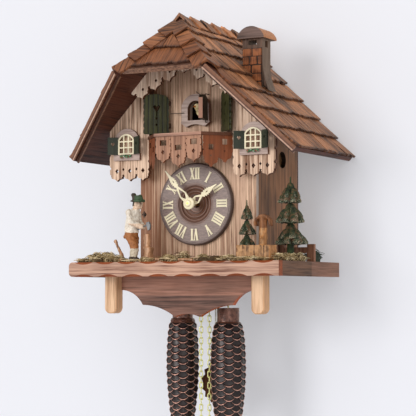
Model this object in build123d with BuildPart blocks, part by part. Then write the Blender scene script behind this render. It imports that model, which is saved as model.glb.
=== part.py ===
from build123d import *
import math
import os
import random

os.makedirs("parts", exist_ok=True)

# Chalet cuckoo clock with an eight-day, two-weight movement, a woodchopper and a well.
# Frame: origin at the hanging hole in the back, on the wall plane. +X right, +Y into the
# wall, +Z up, so the clock's front faces -Y.

# ---- whole clock ----
face_y = -118.0            # front face of the house wall, measured from the wall
dial_z = -180.0            # height of the hands' axis below the hanging hole
ply = 6.0                  # thickness of the house walls
gap = 0.3                  # air between pieces that move against each other
house_half = 80.0          # half the width of the house

# ---- roof ----
ridge_z = 228.0            # top of the roof above the dial axis
pitch = 46.4               # slope of both roof sides, degrees
eave_run = 228.0           # length of a slope from ridge to eave
shingle_lift = 5.0         # depth kept on the boards for the shingles
roof_board = 6.0
rake_front = 44.0          # how far the eaves and the ridge stand in front of the wall
hip_front = 93.7           # the same for the lower corners of the half hip
hip_half = 63.0
tan_p = math.tan(math.radians(pitch))
cos_p = math.cos(math.radians(pitch))
sin_p = math.sin(math.radians(pitch))
soffit_drop = (shingle_lift + roof_board) / cos_p

# ---- base ----
base_half = 141.8
base_front = 67.0          # front of the base board ahead of the house front
base_top = -70.5
base_tall = 17.5
base_board = 10.0
base_back = 14.0           # how far the base stops short of the wall
deck = 6.0

# ---- dial and hands ----
dial_r = 50.0
dial_thick = 6.6
arbor_r = 1.5
fit = 0.06                 # radial clearance of everything that turns


def face(out=0.0):
    # Upright plane with its origin on the dial axis, `out` in front of the house wall
    return Plane(origin=(0, face_y - out, dial_z), x_dir=(1, 0, 0), z_dir=(0, -1, 0))


def level(z):
    # Horizontal plane at a height above the dial axis
    return Plane(origin=(0, 0, dial_z + z), x_dir=(1, 0, 0), z_dir=(0, 0, 1))


def spot(x, out, z):
    # Point given by its place on the front: right of centre, ahead of the wall, above the dial
    return Vector(x, face_y - out, dial_z + z)


def under_roof(x):
    return ridge_z - soffit_drop - abs(x) * tan_p


def rod(x, z, near, far, r):
    # Round rod running front to back between two depths behind the wall's front face
    place = Location((x, face_y + (near + far) / 2, dial_z + z), (90, 0, 0))
    return place * Solid.make_cylinder(r, far - near, Plane((0, 0, -(far - near) / 2)))


def save(piece, name):
    piece.part.label = name
    export_step(piece.part, "parts/" + name + ".step")


def outline(points):
    # Flat face inside a closed run of corners
    flat = Face(Wire.make_polygon([Vector(*p) for p in points], close=True))
    return flat if flat.normal_at().Z > 0 else -flat


def disc(r):
    return Face(Wire(Edge.make_circle(r)))


def diamond(x, y, half_w, half_h):
    return outline([(x - half_w, y), (x, y - half_h), (x + half_w, y), (x, y + half_h)])


def plate(plane, points, thick):
    # Board cut from a run of corners on a plane, grown along the plane's normal
    return extrude(plane * outline(points), amount=thick, mode=Mode.PRIVATE)


def drop_side(tip, notch):
    # Fretsawn edge from a drop's point up to the notch beside it
    steps = [(0.0, 0.0), (0.10, 0.16), (0.30, 0.30), (0.62, 0.38), (0.80, 0.46), (0.74, 0.58),
             (0.90, 0.70), (0.82, 0.88), (1.0, 1.0)]
    dx = notch[0] - tip[0]
    dz = notch[1] - tip[1]
    return [(tip[0] + a * dx, tip[1] + b * dz) for a, b in steps]


# ======================= house =======================

door_half = 10.5           # cuckoo's doorway
door_sill = 102.0
door_spring = 116.5
door_crown = 126.0
lever_x = -75.0
lever_z = -10.7


def arched(half, sill, spring, crown):
    # Upright opening or panel with a shallow arch for a top
    corners = [Vector(-half, spring), Vector(-half, sill), Vector(half, sill), Vector(half, spring)]
    sides = [Edge.make_line(a, b) for a, b in zip(corners, corners[1:])]
    arch = Edge.make_three_point_arc(corners[3], Vector(0, crown), corners[0])
    flat = Face(Wire(sides + [arch]))
    return flat if flat.normal_at().Z > 0 else -flat


with BuildPart() as front_wall:
    with BuildSketch(face()):
        with BuildLine():
            Polyline(
                (-house_half, base_top),
                (house_half, base_top),
                (house_half, under_roof(house_half)),
                (0, under_roof(0)),
                (-house_half, under_roof(house_half)),
                close=True,
            )
        make_face()
        Circle(radius=4.5, mode=Mode.SUBTRACT)
        add(arched(door_half, door_sill, door_spring, door_crown), mode=Mode.SUBTRACT)
        add(diamond(lever_x, lever_z, 3.7, 4.6), mode=Mode.SUBTRACT)
    extrude(amount=-ply)
save(front_wall, "front_wall")

sound_y = face_y + 71.4
sound_z = dial_z + 56.0
sound_r = 10.3
back_thick = 5.0

with BuildPart() as side_walls:
    with BuildSketch(Plane(origin=(0, -back_thick, dial_z), x_dir=(1, 0, 0), z_dir=(0, -1, 0))):
        for side in (-1, 1):
            with BuildLine():
                Polyline(
                    (side * house_half, base_top),
                    (side * (house_half - ply), base_top),
                    (side * (house_half - ply), under_roof(house_half - ply)),
                    (side * house_half, under_roof(house_half)),
                    close=True,
                )
            make_face()
    extrude(amount=-face_y - back_thick - ply)
    with Locations(Location((0, sound_y, sound_z), (0, 90, 0))):
        Cylinder(radius=sound_r, height=3 * house_half, mode=Mode.SUBTRACT)
save(side_walls, "side_walls")

rail_low = 130.0           # bottom of the fixed board that carries the hanging hole
hang_r = 4.5
with BuildPart() as back_rail:
    with BuildSketch(Plane(origin=(0, 0, dial_z), x_dir=(1, 0, 0), z_dir=(0, -1, 0))):
        rail_half = (under_roof(0) - rail_low) / tan_p
        with BuildLine():
            Polyline((-rail_half, rail_low), (rail_half, rail_low), (0, under_roof(0)), close=True)
        make_face()
        with Locations((0, -dial_z)):
            Circle(radius=hang_r, mode=Mode.SUBTRACT)
    extrude(amount=back_thick)
save(back_rail, "back_rail")

with BuildPart() as back_door:
    with BuildSketch(Plane(origin=(0, 0, dial_z), x_dir=(1, 0, 0), z_dir=(0, -1, 0))):
        with BuildLine():
            Polyline(
                (-house_half + gap, base_top + gap),
                (house_half - gap, base_top + gap),
                (house_half - gap, under_roof(house_half) - gap),
                (rail_half, rail_low - gap),
                (-rail_half, rail_low - gap),
                (-house_half + gap, under_roof(house_half) - gap),
                close=True,
            )
        make_face()
        with GridLocations(0, 9, 1, 5):
            SlotOverall(46, 3.4, mode=Mode.SUBTRACT)
    extrude(amount=back_thick - gap)
save(back_door, "back_door")

# ======================= base =======================

scallop_r = 48.0
scallop_deep = 2.0
half_root = math.sqrt(0.5)


def scallop_row(count, first, last, z, up):
    # Gouge cuts along one front edge of the base board
    step = (last - first) / count
    for i in range(count):
        x = first + (i + 0.5) * step
        away = (scallop_r - scallop_deep) * half_root
        where = spot(x, base_front, z) + Vector(0, -away, up * away)
        with Locations(Location(where, (-45 * up, 0, 0))):
            Cylinder(radius=scallop_r, height=60, mode=Mode.SUBTRACT)


with BuildPart() as base_front_board:
    with BuildSketch(face(base_front)):
        with Locations((0, base_top - base_tall / 2)):
            board_shape = Rectangle(2 * base_half, base_tall)
        fillet(board_shape.vertices().group_by(Axis.X)[0], radius=5)
        fillet(board_shape.vertices().group_by(Axis.X)[-1], radius=1.5)
    extrude(amount=-base_board)
    scallop_row(9, -136.0, 137.0, base_top, 1)
    scallop_row(8, -138.0, 140.0, base_top - base_tall, -1)
save(base_front_board, "base_front_board")

side_joint = face_y + 22.3
board_seam = 0.1           # open joint between the front and rear lengths of each side board
with BuildPart() as base_sides:
    with BuildSketch(level(base_top)):
        y0 = face_y - base_front + base_board
        y1 = side_joint - board_seam
        for side in (-1, 1):
            with Locations((side * (base_half - base_board / 2), (y0 + y1) / 2)):
                Rectangle(base_board, y1 - y0)
            with Locations((side * (base_half - base_board / 2), (side_joint - base_back) / 2)):
                Rectangle(base_board, -base_back - side_joint)
    extrude(amount=-base_tall)
    fillet(base_sides.edges().filter_by(Axis.Z).group_by(Axis.Y)[-1], radius=1.5)
save(base_sides, "base_sides")

strand_y = face_y + 20.0   # all four chain strands hang in this plane
wheel_r = 12.9             # pitch radius of the chain wheels
wheel_x = 18.6
pendulum_y = face_y + 47.0
slot_half = 5.0

with BuildPart() as base_deck:
    with BuildSketch(level(base_top)):
        y0 = face_y - base_front + base_board
        with Locations((0, (y0 - base_back) / 2)):
            Rectangle(2 * (base_half - base_board), -base_back - y0)
        for side in (-1, 1):
            for reach in (-1, 1):
                with Locations((side * (wheel_x + reach * wheel_r), strand_y)):
                    Rectangle(2 * slot_half, 2 * slot_half, mode=Mode.SUBTRACT)
        with Locations((0, pendulum_y)):
            Rectangle(46, 9, mode=Mode.SUBTRACT)
    extrude(amount=-deck)
save(base_deck, "base_deck")

post_w = 16.8
post_in = 91.8
post_front = 38.0
post_deep = 16.0
post_low = -132.4
with BuildPart() as support_posts:
    with BuildSketch(face(post_front)):
        tall = base_top - deck - post_low
        for side in (-1, 1):
            with Locations((side * (post_in + post_w / 2), post_low + tall / 2)):
                Rectangle(post_w, tall)
    extrude(amount=-post_deep)
    fillet(support_posts.edges().filter_by(Axis.Y).group_by(Axis.Z)[0], radius=7)
    chamfer(support_posts.edges().filter_by(GeomType.CIRCLE), length=1.2)
save(support_posts, "support_posts")

apron_front = 26.0
apron_thick = 8.0
with BuildPart() as apron:
    with BuildSketch(face(apron_front)):
        top = base_top - deck
        outer = (post_in - 0.2, -104.0)
        cusp = (61.5, -122.0)
        toe = (16.9, -136.0)
        with BuildLine():
            TangentArc((-outer[0], outer[1]), (-cusp[0], cusp[1]), tangent=(1, 0))
            TangentArc((-cusp[0], cusp[1]), (-toe[0], toe[1]), tangent=(1, 0))
            ThreePointArc((-toe[0], toe[1]), (0, toe[1] + 3.4), toe)
            TangentArc(cusp, toe, tangent=(-1, 0))
            TangentArc(outer, cusp, tangent=(-1, 0))
            Polyline(outer, (outer[0], top), (-outer[0], top), (-outer[0], outer[1]))
        make_face()
    extrude(amount=-apron_thick)
save(apron, "apron")

# ======================= roof =======================

apex = spot(0, rake_front, ridge_z)
hip_low = ridge_z - hip_half * tan_p
hip_slant = math.hypot(hip_front - rake_front, ridge_z - hip_low)
hip_fall = math.degrees(math.atan2(ridge_z - hip_low, hip_front - rake_front))
hip_run = hip_half / cos_p


def slope(side, lift=0.0):
    # Plane on a roof side: local x runs down the slope, local y towards the wall times `side`
    normal = Vector(side * sin_p, 0, cos_p)
    down = Vector(side * cos_p, 0, -sin_p)
    return Plane(origin=Vector(0, 0, dial_z + ridge_z) + normal * lift, x_dir=down, z_dir=normal)


hip_sin = math.sin(math.radians(hip_fall))
hip_cos = math.cos(math.radians(hip_fall))


def hip(lift=0.0):
    # Plane on the half hip: local x to the right, local y up the slope, origin at the ridge end
    normal = Vector(0, -hip_sin, hip_cos)
    return Plane(origin=apex + normal * lift, x_dir=(1, 0, 0), z_dir=normal)


def hip_edge(side):
    # Upright cut along a hip line, half way between the two roof faces it joins
    corner = spot(side * hip_half, hip_front, hip_low)
    along = (corner - apex).normalized()
    middle = (Vector(side * sin_p, 0, cos_p) + Vector(0, -hip_sin, hip_cos)).normalized()
    return Plane(origin=apex, x_dir=along, z_dir=along.cross(middle) * side)


ridge_y = face_y - rake_front
corner_y = face_y - hip_front


def slope_corners(side):
    return [
        (0, 0),
        (0, side * (corner_y - 10)),
        (hip_run, side * corner_y),
        (eave_run, side * ridge_y),
        (eave_run, 0),
    ]


mitre = 0.05               # half the open joint where two roof boards meet


def side_board(side):
    # One sloping roof board, mitred at the ridge and along its hip
    board = plate(slope(side, -shingle_lift - roof_board), slope_corners(side), roof_board)
    ridge_cut = Plane.YZ.offset(side * mitre)
    board = split(board, bisect_by=ridge_cut, keep=Keep.TOP if side > 0 else Keep.BOTTOM, mode=Mode.PRIVATE)
    return split(board, bisect_by=hip_edge(side).offset(-mitre), keep=Keep.BOTTOM, mode=Mode.PRIVATE)


def hip_board():
    reach = hip_half + 9
    board = plate(hip(-shingle_lift), [(-reach, -hip_slant), (reach, -hip_slant), (0, 14)], -roof_board)
    board = split(board, bisect_by=hip_edge(1).offset(mitre), keep=Keep.TOP, mode=Mode.PRIVATE)
    return split(board, bisect_by=hip_edge(-1).offset(mitre), keep=Keep.TOP, mode=Mode.PRIVATE)


with BuildPart() as roof_boards:
    add([side_board(1), side_board(-1), hip_board()])
save(roof_boards, "roof_boards")

# ---- wooden shingles ----
courses = 7
course_run = eave_run / courses
butt = 4.2                 # thickness of a shingle at its lower end
thin = 1.0                 # and where it goes in under the course above
seam = 0.35
stack_x = (52.5, 79.5)     # chimney's left and right sides
stack_y = (face_y + 18.0, face_y + 40.0)


def shingle(plane, across, run, wide, long, lip, thick):
    # One wedge-shaped shingle: `across` and `run` are its upper corner on the roof side
    profile = [
        (0.15, 0),
        (long, 0),
        (long, thin + 0.6),
        (long + lip, thin + 0.9),
        (long + lip, thick),
        (0.15, thin),
    ]
    section = Plane(
        origin=plane.origin + plane.x_dir * run + plane.y_dir * across,
        x_dir=plane.x_dir,
        z_dir=-plane.y_dir,
    )
    return plate(section, profile, -wide)


def side_shingles(side, seed):
    # Courses of unequal shingles on one roof side, each trimmed to the slanting front edge
    chance = random.Random(seed)
    plane = slope(side, -shingle_lift)
    pieces = []
    for course in range(courses):
        run = course * course_run
        long = course_run
        if course == 0:
            run = 9.0
            long = course_run - 9.0
        y = 0.0
        while y > -215.0:
            wide = chance.uniform(22.0, 40.0)
            lip = chance.uniform(0.6, 3.4)
            thick = chance.uniform(butt - 0.4, butt + 0.4)
            lay = shingle(plane, min(y * side, (y - wide) * side), run, wide - seam, long, lip, thick)
            pieces.append(lay)
            y -= wide
    return pieces


cap_wing = 17.0            # each side of a ridge cap, measured down the slope
hip_wing = 15.0            # the same for the caps on the hips
cap_grow = 0.8             # how much wider a cap is at its free end
side_normal = Vector(sin_p, 0, cos_p)
hip_normal = Vector(0, -hip_sin, hip_cos)
hip_fold = math.acos((side_normal + hip_normal).normalized().dot(side_normal))
ridge_clear = cap_wing + cap_grow + seam + shingle_lift * tan_p
hip_clear = hip_wing + cap_grow + seam + shingle_lift * math.tan(hip_fold)


def beside_hip(side, run_at):
    # Front-to-back place of the line where shingles stop short of the hip caps
    lean = (corner_y - ridge_y) / hip_run
    aside = hip_clear * math.hypot(1, lean)
    return side * (ridge_y + lean * run_at + aside)


def cover_area(side):
    # Part of a roof side that carries shingles: behind the hip caps and the raked front edge
    lean = (corner_y - ridge_y) / hip_run
    back = (ridge_y - corner_y) / (eave_run - hip_run)
    aside = hip_clear * math.hypot(1, lean)
    meet = (corner_y - back * hip_run - ridge_y - aside) / (lean - back)
    start = ridge_clear
    return plate(
        slope(side, -shingle_lift - 1),
        [
            (start, side * -0.2),
            (start, beside_hip(side, start)),
            (meet, beside_hip(side, meet)),
            (eave_run, side * ridge_y),
            (eave_run + 4, side * ridge_y),
            (eave_run + 4, side * -0.2),
        ],
        14,
    )


def chimney_void(extra):
    wide = stack_x[1] - stack_x[0] + 2 * extra
    deep = stack_y[1] - stack_y[0] + 2 * extra
    centre = Location(((stack_x[0] + stack_x[1]) / 2, (stack_y[0] + stack_y[1]) / 2, dial_z + 150))
    return centre * extrude(Face.make_rect(wide, deep), amount=100, both=True, mode=Mode.PRIVATE)


def trimmed(pieces, keep):
    kept = []
    for lay in pieces:
        for cut in (lay & keep).solids():
            if cut.volume > 60:
                kept.append(cut)
    return kept


hip_courses = 3
with BuildPart() as shingles:
    add([lay - chimney_void(0.2) for lay in trimmed(side_shingles(1, 7), cover_area(1))])
    add(trimmed(side_shingles(-1, 11), cover_area(-1)))
    chance = random.Random(3)
    plane = hip(-shingle_lift)
    face_down = Plane(origin=plane.origin, x_dir=-plane.y_dir, z_dir=plane.z_dir)
    hip_length = math.hypot(hip_half, hip_slant)
    aside = hip_clear * hip_length / hip_half
    keep_half = hip_half * (1 - aside / hip_slant)
    keep = plate(
        Plane(origin=plane.origin - plane.z_dir, x_dir=(1, 0, 0), z_dir=plane.z_dir),
        [(0, -aside), (-keep_half, -hip_slant), (-keep_half, -hip_slant - 4),
         (keep_half, -hip_slant - 4), (keep_half, -hip_slant)],
        14,
    )
    long = hip_slant / hip_courses
    hip_pieces = []
    for course in range(hip_courses):
        x = -hip_half - 4
        while x < hip_half:
            wide = chance.uniform(17.0, 30.0)
            lip = chance.uniform(0.6, 2.6)
            thick = chance.uniform(butt - 0.4, butt + 0.4)
            hip_pieces.append(shingle(face_down, x, course * long, wide - seam, long, lip, thick))
            x += wide
    add(trimmed(hip_pieces, keep))
save(shingles, "shingles")


def cap_section(where, along, up, fall, wing, lift, thick):
    # Roof-shaped cross-section of a cap, standing square across the line it covers
    a = math.radians(fall)
    out = (math.sin(a), math.cos(a))
    tip = (wing * math.cos(a), -wing * math.sin(a))
    high = lift + thick
    corners = [
        (tip[0] + out[0] * lift, tip[1] + out[1] * lift),
        (tip[0] + out[0] * high, tip[1] + out[1] * high),
        (0, high / math.cos(a)),
        (-tip[0] - out[0] * high, tip[1] + out[1] * high),
        (-tip[0] - out[0] * lift, tip[1] + out[1] * lift),
        (0, lift / math.cos(a)),
    ]
    return Plane(origin=where, x_dir=up.cross(along), z_dir=along) * outline(corners)


def cap_row(start, finish, up, fall, wing, count, thick):
    # Overlapping caps along a ridge or hip line, each rising towards its free end
    whole = finish - start
    along = whole.normalized()
    long = whole.length / count
    pieces = []
    for i in range(count):
        near = start + along * (i * long)
        far = start + along * ((i + 1) * long - 0.2)
        low = cap_section(near, along, up, fall, wing, 0.4, thick - 0.6)
        high = cap_section(far, along, up, fall, wing + cap_grow, 2.2, thick)
        pieces.append(loft([low, high], ruled=True, mode=Mode.PRIVATE))
    return pieces


cap_thick = 2.8
with BuildPart() as roof_caps:
    peak = dial_z + ridge_z - shingle_lift / cos_p
    rear = Vector(0, -0.2, peak)
    front = Vector(0, ridge_y - 1, peak)
    add(cap_row(rear, front, Vector(0, 0, 1), pitch, cap_wing, 6, cap_thick))
    for side in (-1, 1):
        middle = (Vector(side * sin_p, 0, cos_p) + hip_normal).normalized()
        corner = spot(side * hip_half, hip_front, hip_low)
        line = (corner - apex).normalized()
        sunk = middle * (shingle_lift / math.cos(hip_fold))
        begin = apex - sunk + line * 11
        finish = corner - sunk + line * 3
        add(cap_row(begin, finish, middle, math.degrees(hip_fold), hip_wing, 4, cap_thick))
save(roof_caps, "roof_caps")

# ---- trim boards on the raked edges and under the half hip ----
with BuildPart() as roof_trims:
    rake_start = hip_run + 4.5
    for side in (-1, 1):
        for back, deep, lift, tall in ((0.15, -3.2, -shingle_lift - roof_board, roof_board + 0.4),
                                       (7.0, 3.0, -shingle_lift - roof_board - 3.2, 3.0)):
            corners = [
                (rake_start, side * (corner_y - back if deep < 0 else corner_y + back)),
                (eave_run, side * (ridge_y - back if deep < 0 else ridge_y + back)),
                (eave_run, side * (ridge_y + (deep if deep < 0 else back - deep))),
                (rake_start, side * (corner_y + (deep if deep < 0 else back - deep))),
            ]
            add(plate(slope(side, lift), corners, tall))
    fascia_half = hip_half - 9.2
    add(
        plate(
            hip(-shingle_lift - roof_board - 1.5),
            [(-fascia_half, -hip_slant - 0.1), (fascia_half, -hip_slant - 0.1),
             (fascia_half, -hip_slant - 3.0), (-fascia_half, -hip_slant - 3.0)],
            roof_board + 2.0,
        )
    )
save(roof_trims, "roof_trims")

# ---- chimney ----
stack_top = 200.0
cap_half = 18.0
with BuildPart() as chimney:
    with BuildSketch(Plane(origin=(0, stack_y[0], dial_z), x_dir=(1, 0, 0), z_dir=(0, -1, 0))):
        low_left = ridge_z - shingle_lift / cos_p - stack_x[0] * tan_p + 0.1
        low_right = ridge_z - shingle_lift / cos_p - stack_x[1] * tan_p + 0.1
        with BuildLine():
            Polyline(
                (stack_x[0], low_left),
                (stack_x[0], stack_top),
                (stack_x[1], stack_top),
                (stack_x[1], low_right),
                close=True,
            )
        make_face()
        with Locations(((stack_x[0] + stack_x[1]) / 2, stack_top - 4.6)):
            Rectangle(11.5, 5.4, mode=Mode.SUBTRACT)
    extrude(amount=-(stack_y[1] - stack_y[0]))
    with Locations((stack_x[1], (stack_y[0] + stack_y[1]) / 2, dial_z + stack_top - 6.0)):
        Box(30, 7, 8, mode=Mode.SUBTRACT)
    toe_x = stack_x[1] + 8.5
    with BuildSketch(Plane(origin=(0, stack_y[0] + 1, dial_z), x_dir=(1, 0, 0), z_dir=(0, -1, 0))):
        on_roof = ridge_z - (shingle_lift - 5.2) / cos_p
        heel = (stack_x[1] + 0.1, on_roof - stack_x[1] * tan_p)
        toe_point = (toe_x, on_roof - toe_x * tan_p)
        with BuildLine():
            Polyline((heel[0], heel[1] + 26), heel, toe_point)
            ThreePointArc(toe_point, (stack_x[1] + 2.6, heel[1] + 7), (heel[0], heel[1] + 26))
        make_face()
    extrude(amount=-(stack_y[1] - stack_y[0] - 2))
    middle_x = (stack_x[0] + stack_x[1]) / 2
    with BuildSketch(Plane(origin=(middle_x, stack_y[0] - 6, dial_z + stack_top + 0.1),
                           x_dir=(1, 0, 0), z_dir=(0, -1, 0))):
        with BuildLine():
            Polyline((-cap_half, 2.4), (-cap_half, 0), (cap_half, 0), (cap_half, 2.4))
            ThreePointArc((cap_half, 2.4), (0, 14.6), (-cap_half, 2.4))
        make_face()
    extrude(amount=-36)
save(chimney, "chimney")

# ======================= gable dressing =======================

shutter_hinge = 38.0       # upright edge of each large shutter, right or left of the middle
shutter_low = 85.3
shutter_high = 135.6
wing_front = 18.0          # front of the overhanging gable boards
wing_thick = 5.0
wing_in = 57.7
wing_out = 114.0
wing_tips = (66.4, 85.2, 103.6)
wing_low = 30.0
wing_notch = 38.6


def wing_corners(side):
    # Fretsawn lower edge with three drops, bumpy upright edges, top cut to the roof
    low = [(wing_in, wing_notch + 2)]
    bounds = (wing_in, 75.8, 94.4, wing_out - 0.5)
    for i, tip_x in enumerate(wing_tips):
        tip = (tip_x, wing_low)
        low += list(reversed(drop_side(tip, (bounds[i], wing_notch))))[1:]
        low += drop_side(tip, (bounds[i + 1], wing_notch))[1:]
    edge = [(wing_out, 44), (wing_out - 2.2, 46), (wing_out, 49), (wing_out, 60),
            (wing_out - 1.6, 62.5), (wing_out, 65), (wing_out, 77), (wing_out - 1.6, 79.5),
            (wing_out, 82), (wing_out, under_roof(wing_out))]
    back = [(wing_in, under_roof(wing_in)), (wing_in, 56), (wing_in + 1.6, 53.5), (wing_in, 51),
            (wing_in, 46), (wing_in + 1.6, 43.5)]
    return [(side * x, z) for x, z in low + edge + back]


with BuildPart() as gable_wings:
    with BuildSketch(face(wing_front - wing_thick)):
        for side in (-1, 1):
            add(outline(wing_corners(side)))
            for x in (66.4, 85.2, 103.6):
                add(diamond(side * x, 42.6, 2.6, 3.2), mode=Mode.SUBTRACT)
            for x in (75.8, 94.4):
                add(diamond(side * x, 44.6, 1.7, 2.2), mode=Mode.SUBTRACT)
    extrude(amount=wing_thick)
save(gable_wings, "gable_wings")

with BuildPart() as gable_blocks:
    for side in (-1, 1):
        block = [(side * (wing_in + 4), 62), (side * 98, 62), (side * 98, under_roof(98)),
                 (side * (wing_in + 4), under_roof(wing_in + 4))]
        add(plate(face(0), block, wing_front - wing_thick))
        for z in (shutter_low + 9, shutter_high - 14):
            block = [(side * (shutter_hinge - 1.0), z), (side * (shutter_hinge + 3.4), z),
                     (side * (shutter_hinge + 3.4), z + 6), (side * (shutter_hinge - 1.0), z + 6)]
            add(plate(face(0), block, 4.0))
save(gable_blocks, "gable_blocks")

fret_front = 36.0
fret_thick = 4.0
fret_half = 72.0
with BuildPart() as gable_fret:
    tips = [(0, 156.3), (19.1, 146.9), (38.4, 137.4), (56.6, 127.8)]
    notches = [(9.6, 163.4), (28.8, 153.2), (47.6, 143.4), (66.4, 135.0)]
    right = [tips[0]]
    for i, tip in enumerate(tips):
        if i > 0:
            right += list(reversed(drop_side(tip, notches[i - 1])))[1:]
        right += drop_side(tip, notches[i])[1:]
    right += [(69, 133), (fret_half, 134.6), (fret_half, under_roof(fret_half)), (0, under_roof(0))]
    left = [(-x, z) for x, z in reversed(right[1:-1])]
    with BuildSketch(face(fret_front - fret_thick)):
        add(outline(right + left))
        for x, z in ((18.4, 159.1), (37.6, 149.4), (56.0, 139.7)):
            for side in (-1, 1):
                add(diamond(side * x, z, 1.9, 2.3), mode=Mode.SUBTRACT)
    extrude(amount=fret_thick)
save(gable_fret, "gable_fret")

# ---- balcony ----
bay_front = 48.0
bay_half = 31.3
bay_end = (57.2, 19.0)     # where the slanting sides meet the gable boards
bay_top = 83.0
board_thick = 3.0
rail_tall = 3.6


def bay_board(wide, long_one):
    # One carved balustrade board, local origin at the middle of its top edge
    low = 41.6 - bay_top if long_one else 47.2 - bay_top
    half = wide / 2 - 0.15
    right = drop_side((0, low), (half, low + 12.5))
    right += [(half, low + 19), (half - 1.3, low + 20.4), (half, low + 21.8),
              (half, low + 27), (half - 1.3, low + 28.4), (half, low + 29.8), (half, -rail_tall)]
    left = [(-x, z) for x, z in reversed(right[1:])]
    shape = outline(right + left)
    hole_z = -17.8 if long_one else -11.3
    shape -= Pos(0, hole_z) * Face.make_rect(9.0, 6.6)
    shape -= diamond(0, low + 13.4, 2.6, 3.0)
    return shape


bay_corner = spot(bay_half, bay_front, bay_top)
bay_wall = spot(bay_end[0], bay_end[1], bay_top)
bay_long = (bay_wall - bay_corner).length
bay_dir = (bay_wall - bay_corner).normalized()
with BuildPart() as balcony_boards:
    third = 2 * bay_half / 3
    for i, long_one in ((-1, False), (0, True), (1, False)):
        seat = Plane(origin=spot(i * third, bay_front - board_thick, bay_top), x_dir=(1, 0, 0),
                     z_dir=(0, -1, 0))
        add(extrude(seat * bay_board(third, long_one), amount=board_thick, mode=Mode.PRIVATE))
    half_side = (bay_long - 4.0) / 2
    for side in (-1, 1):
        for i, long_one in ((0, True), (1, False)):
            mid = bay_corner + bay_dir * (2.0 + half_side * (i + 0.5))
            where = Vector(side * mid.X, mid.Y, mid.Z)
            run = Vector(bay_dir.X, side * bay_dir.Y, 0)
            out = Vector(side * -bay_dir.Y, 0, 0) + Vector(0, -bay_dir.X, 0)
            seat = Plane(origin=where - out * board_thick, x_dir=run, z_dir=run.cross(Vector(0, 0, 1)))
            carved = seat * bay_board(half_side, long_one)
            add(extrude(carved, amount=board_thick, dir=out, mode=Mode.PRIVATE))
save(balcony_boards, "balcony_boards")


def bay_ring(grow):
    corner = (bay_half + grow * 0.42, face_y - bay_front - grow)
    end = (bay_end[0] + grow * 0.2, face_y - bay_end[1] - grow)
    return [(-end[0], end[1]), (-corner[0], corner[1]), corner, end]


with BuildPart() as balcony_frame:
    ring = bay_ring(2.4) + list(reversed(bay_ring(-board_thick - 1.4)))
    add(plate(level(bay_top - rail_tall), ring, rail_tall))
    floor_z = 60.0
    inner = bay_ring(-board_thick - 0.6)
    ring = inner + [(wing_in - 0.5, face_y - wing_front), (wing_in - 0.5, face_y - 0.1),
                    (-wing_in + 0.5, face_y - 0.1), (-wing_in + 0.5, face_y - wing_front)]
    add(plate(level(floor_z), ring, 3.0))
save(balcony_frame, "balcony_frame")

# ---- large shutters beside the cuckoo's door ----
shutter_w = 32.0
shutter_thick = 3.0
with BuildPart() as large_shutters:
    tall = shutter_high - shutter_low
    bumps = 6
    edge_in = []
    edge_out = []
    for i in range(bumps):
        z = tall * 0.9 * i / bumps
        step = tall * 0.9 / bumps
        edge_out += [(shutter_w - 1.0, z + 0.6), (shutter_w, z + step * 0.35), (shutter_w, z + step * 0.7)]
        edge_in += [(1.0, z + 0.6), (0, z + step * 0.35), (0, z + step * 0.7)]
    top_arc = [(shutter_w - 2, tall * 0.93), (shutter_w * 0.8, tall * 0.975), (shutter_w * 0.5, tall),
               (shutter_w * 0.2, tall * 0.975), (2, tall * 0.93)]
    corners = edge_out + top_arc + list(reversed(edge_in))
    panel = outline(corners)
    mid = shutter_w / 2
    heart = [(mid, 27.5), (mid + 2.6, 31.2), (mid + 4.6, 34.6), (mid + 3.6, 36.4), (mid + 1.6, 36.2),
             (mid, 34.6), (mid - 1.6, 36.2), (mid - 3.6, 36.4), (mid - 4.6, 34.6), (mid - 2.6, 31.2)]
    panel -= outline(heart)
    panel -= Pos(mid, 25.4) * Face.make_rect(1.1, 5.5)
    panel -= diamond(mid, 20.4, 1.7, 2.0)
    panel -= diamond(mid, 12.6, 1.7, 2.0)
    for side in (-1, 1):
        run = Vector(side * half_root, -half_root, 0)
        seat = Plane(origin=spot(side * shutter_hinge, 4.4, shutter_low), x_dir=run,
                     z_dir=run.cross(Vector(0, 0, 1)))
        inward = Vector(-side * half_root, -half_root, 0)
        add(extrude(seat * panel, amount=shutter_thick, dir=inward, mode=Mode.PRIVATE))
save(large_shutters, "large_shutters")

# ---- cuckoo's doorway ----
surround_thick = 6.0
with BuildPart() as door_surround:
    with BuildSketch(face(0)):
        with BuildLine():
            Polyline((19, 101), (19, 120))
            ThreePointArc((19, 120), (0, 134), (-19, 120))
            Polyline((-19, 120), (-19, 101), (-20.2, 99.5), (-12.6, 94.0))
            ThreePointArc((-12.6, 94.0), (0, 97.2), (12.6, 94.0))
            Polyline((12.6, 94.0), (20.2, 99.5), (19, 101))
        make_face()
        add(arched(door_half, door_sill, door_spring, door_crown), mode=Mode.SUBTRACT)
    extrude(amount=surround_thick)
save(door_surround, "door_surround")

door_wide = 29.0
door_thick = 5.0
pin_x = 16.0               # upright pin the cuckoo's door turns on
pin_edge = 1.4             # from the pin to the door's own edge
door_air = 0.6             # between the closed door and its surround
pin_out = surround_thick + door_air + door_thick / 2
pin_r = 0.6
open_deg = 106.0           # how far the door stands open at rest
door_base = 100.8
door_side = 125.6
door_peak = 130.6

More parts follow.
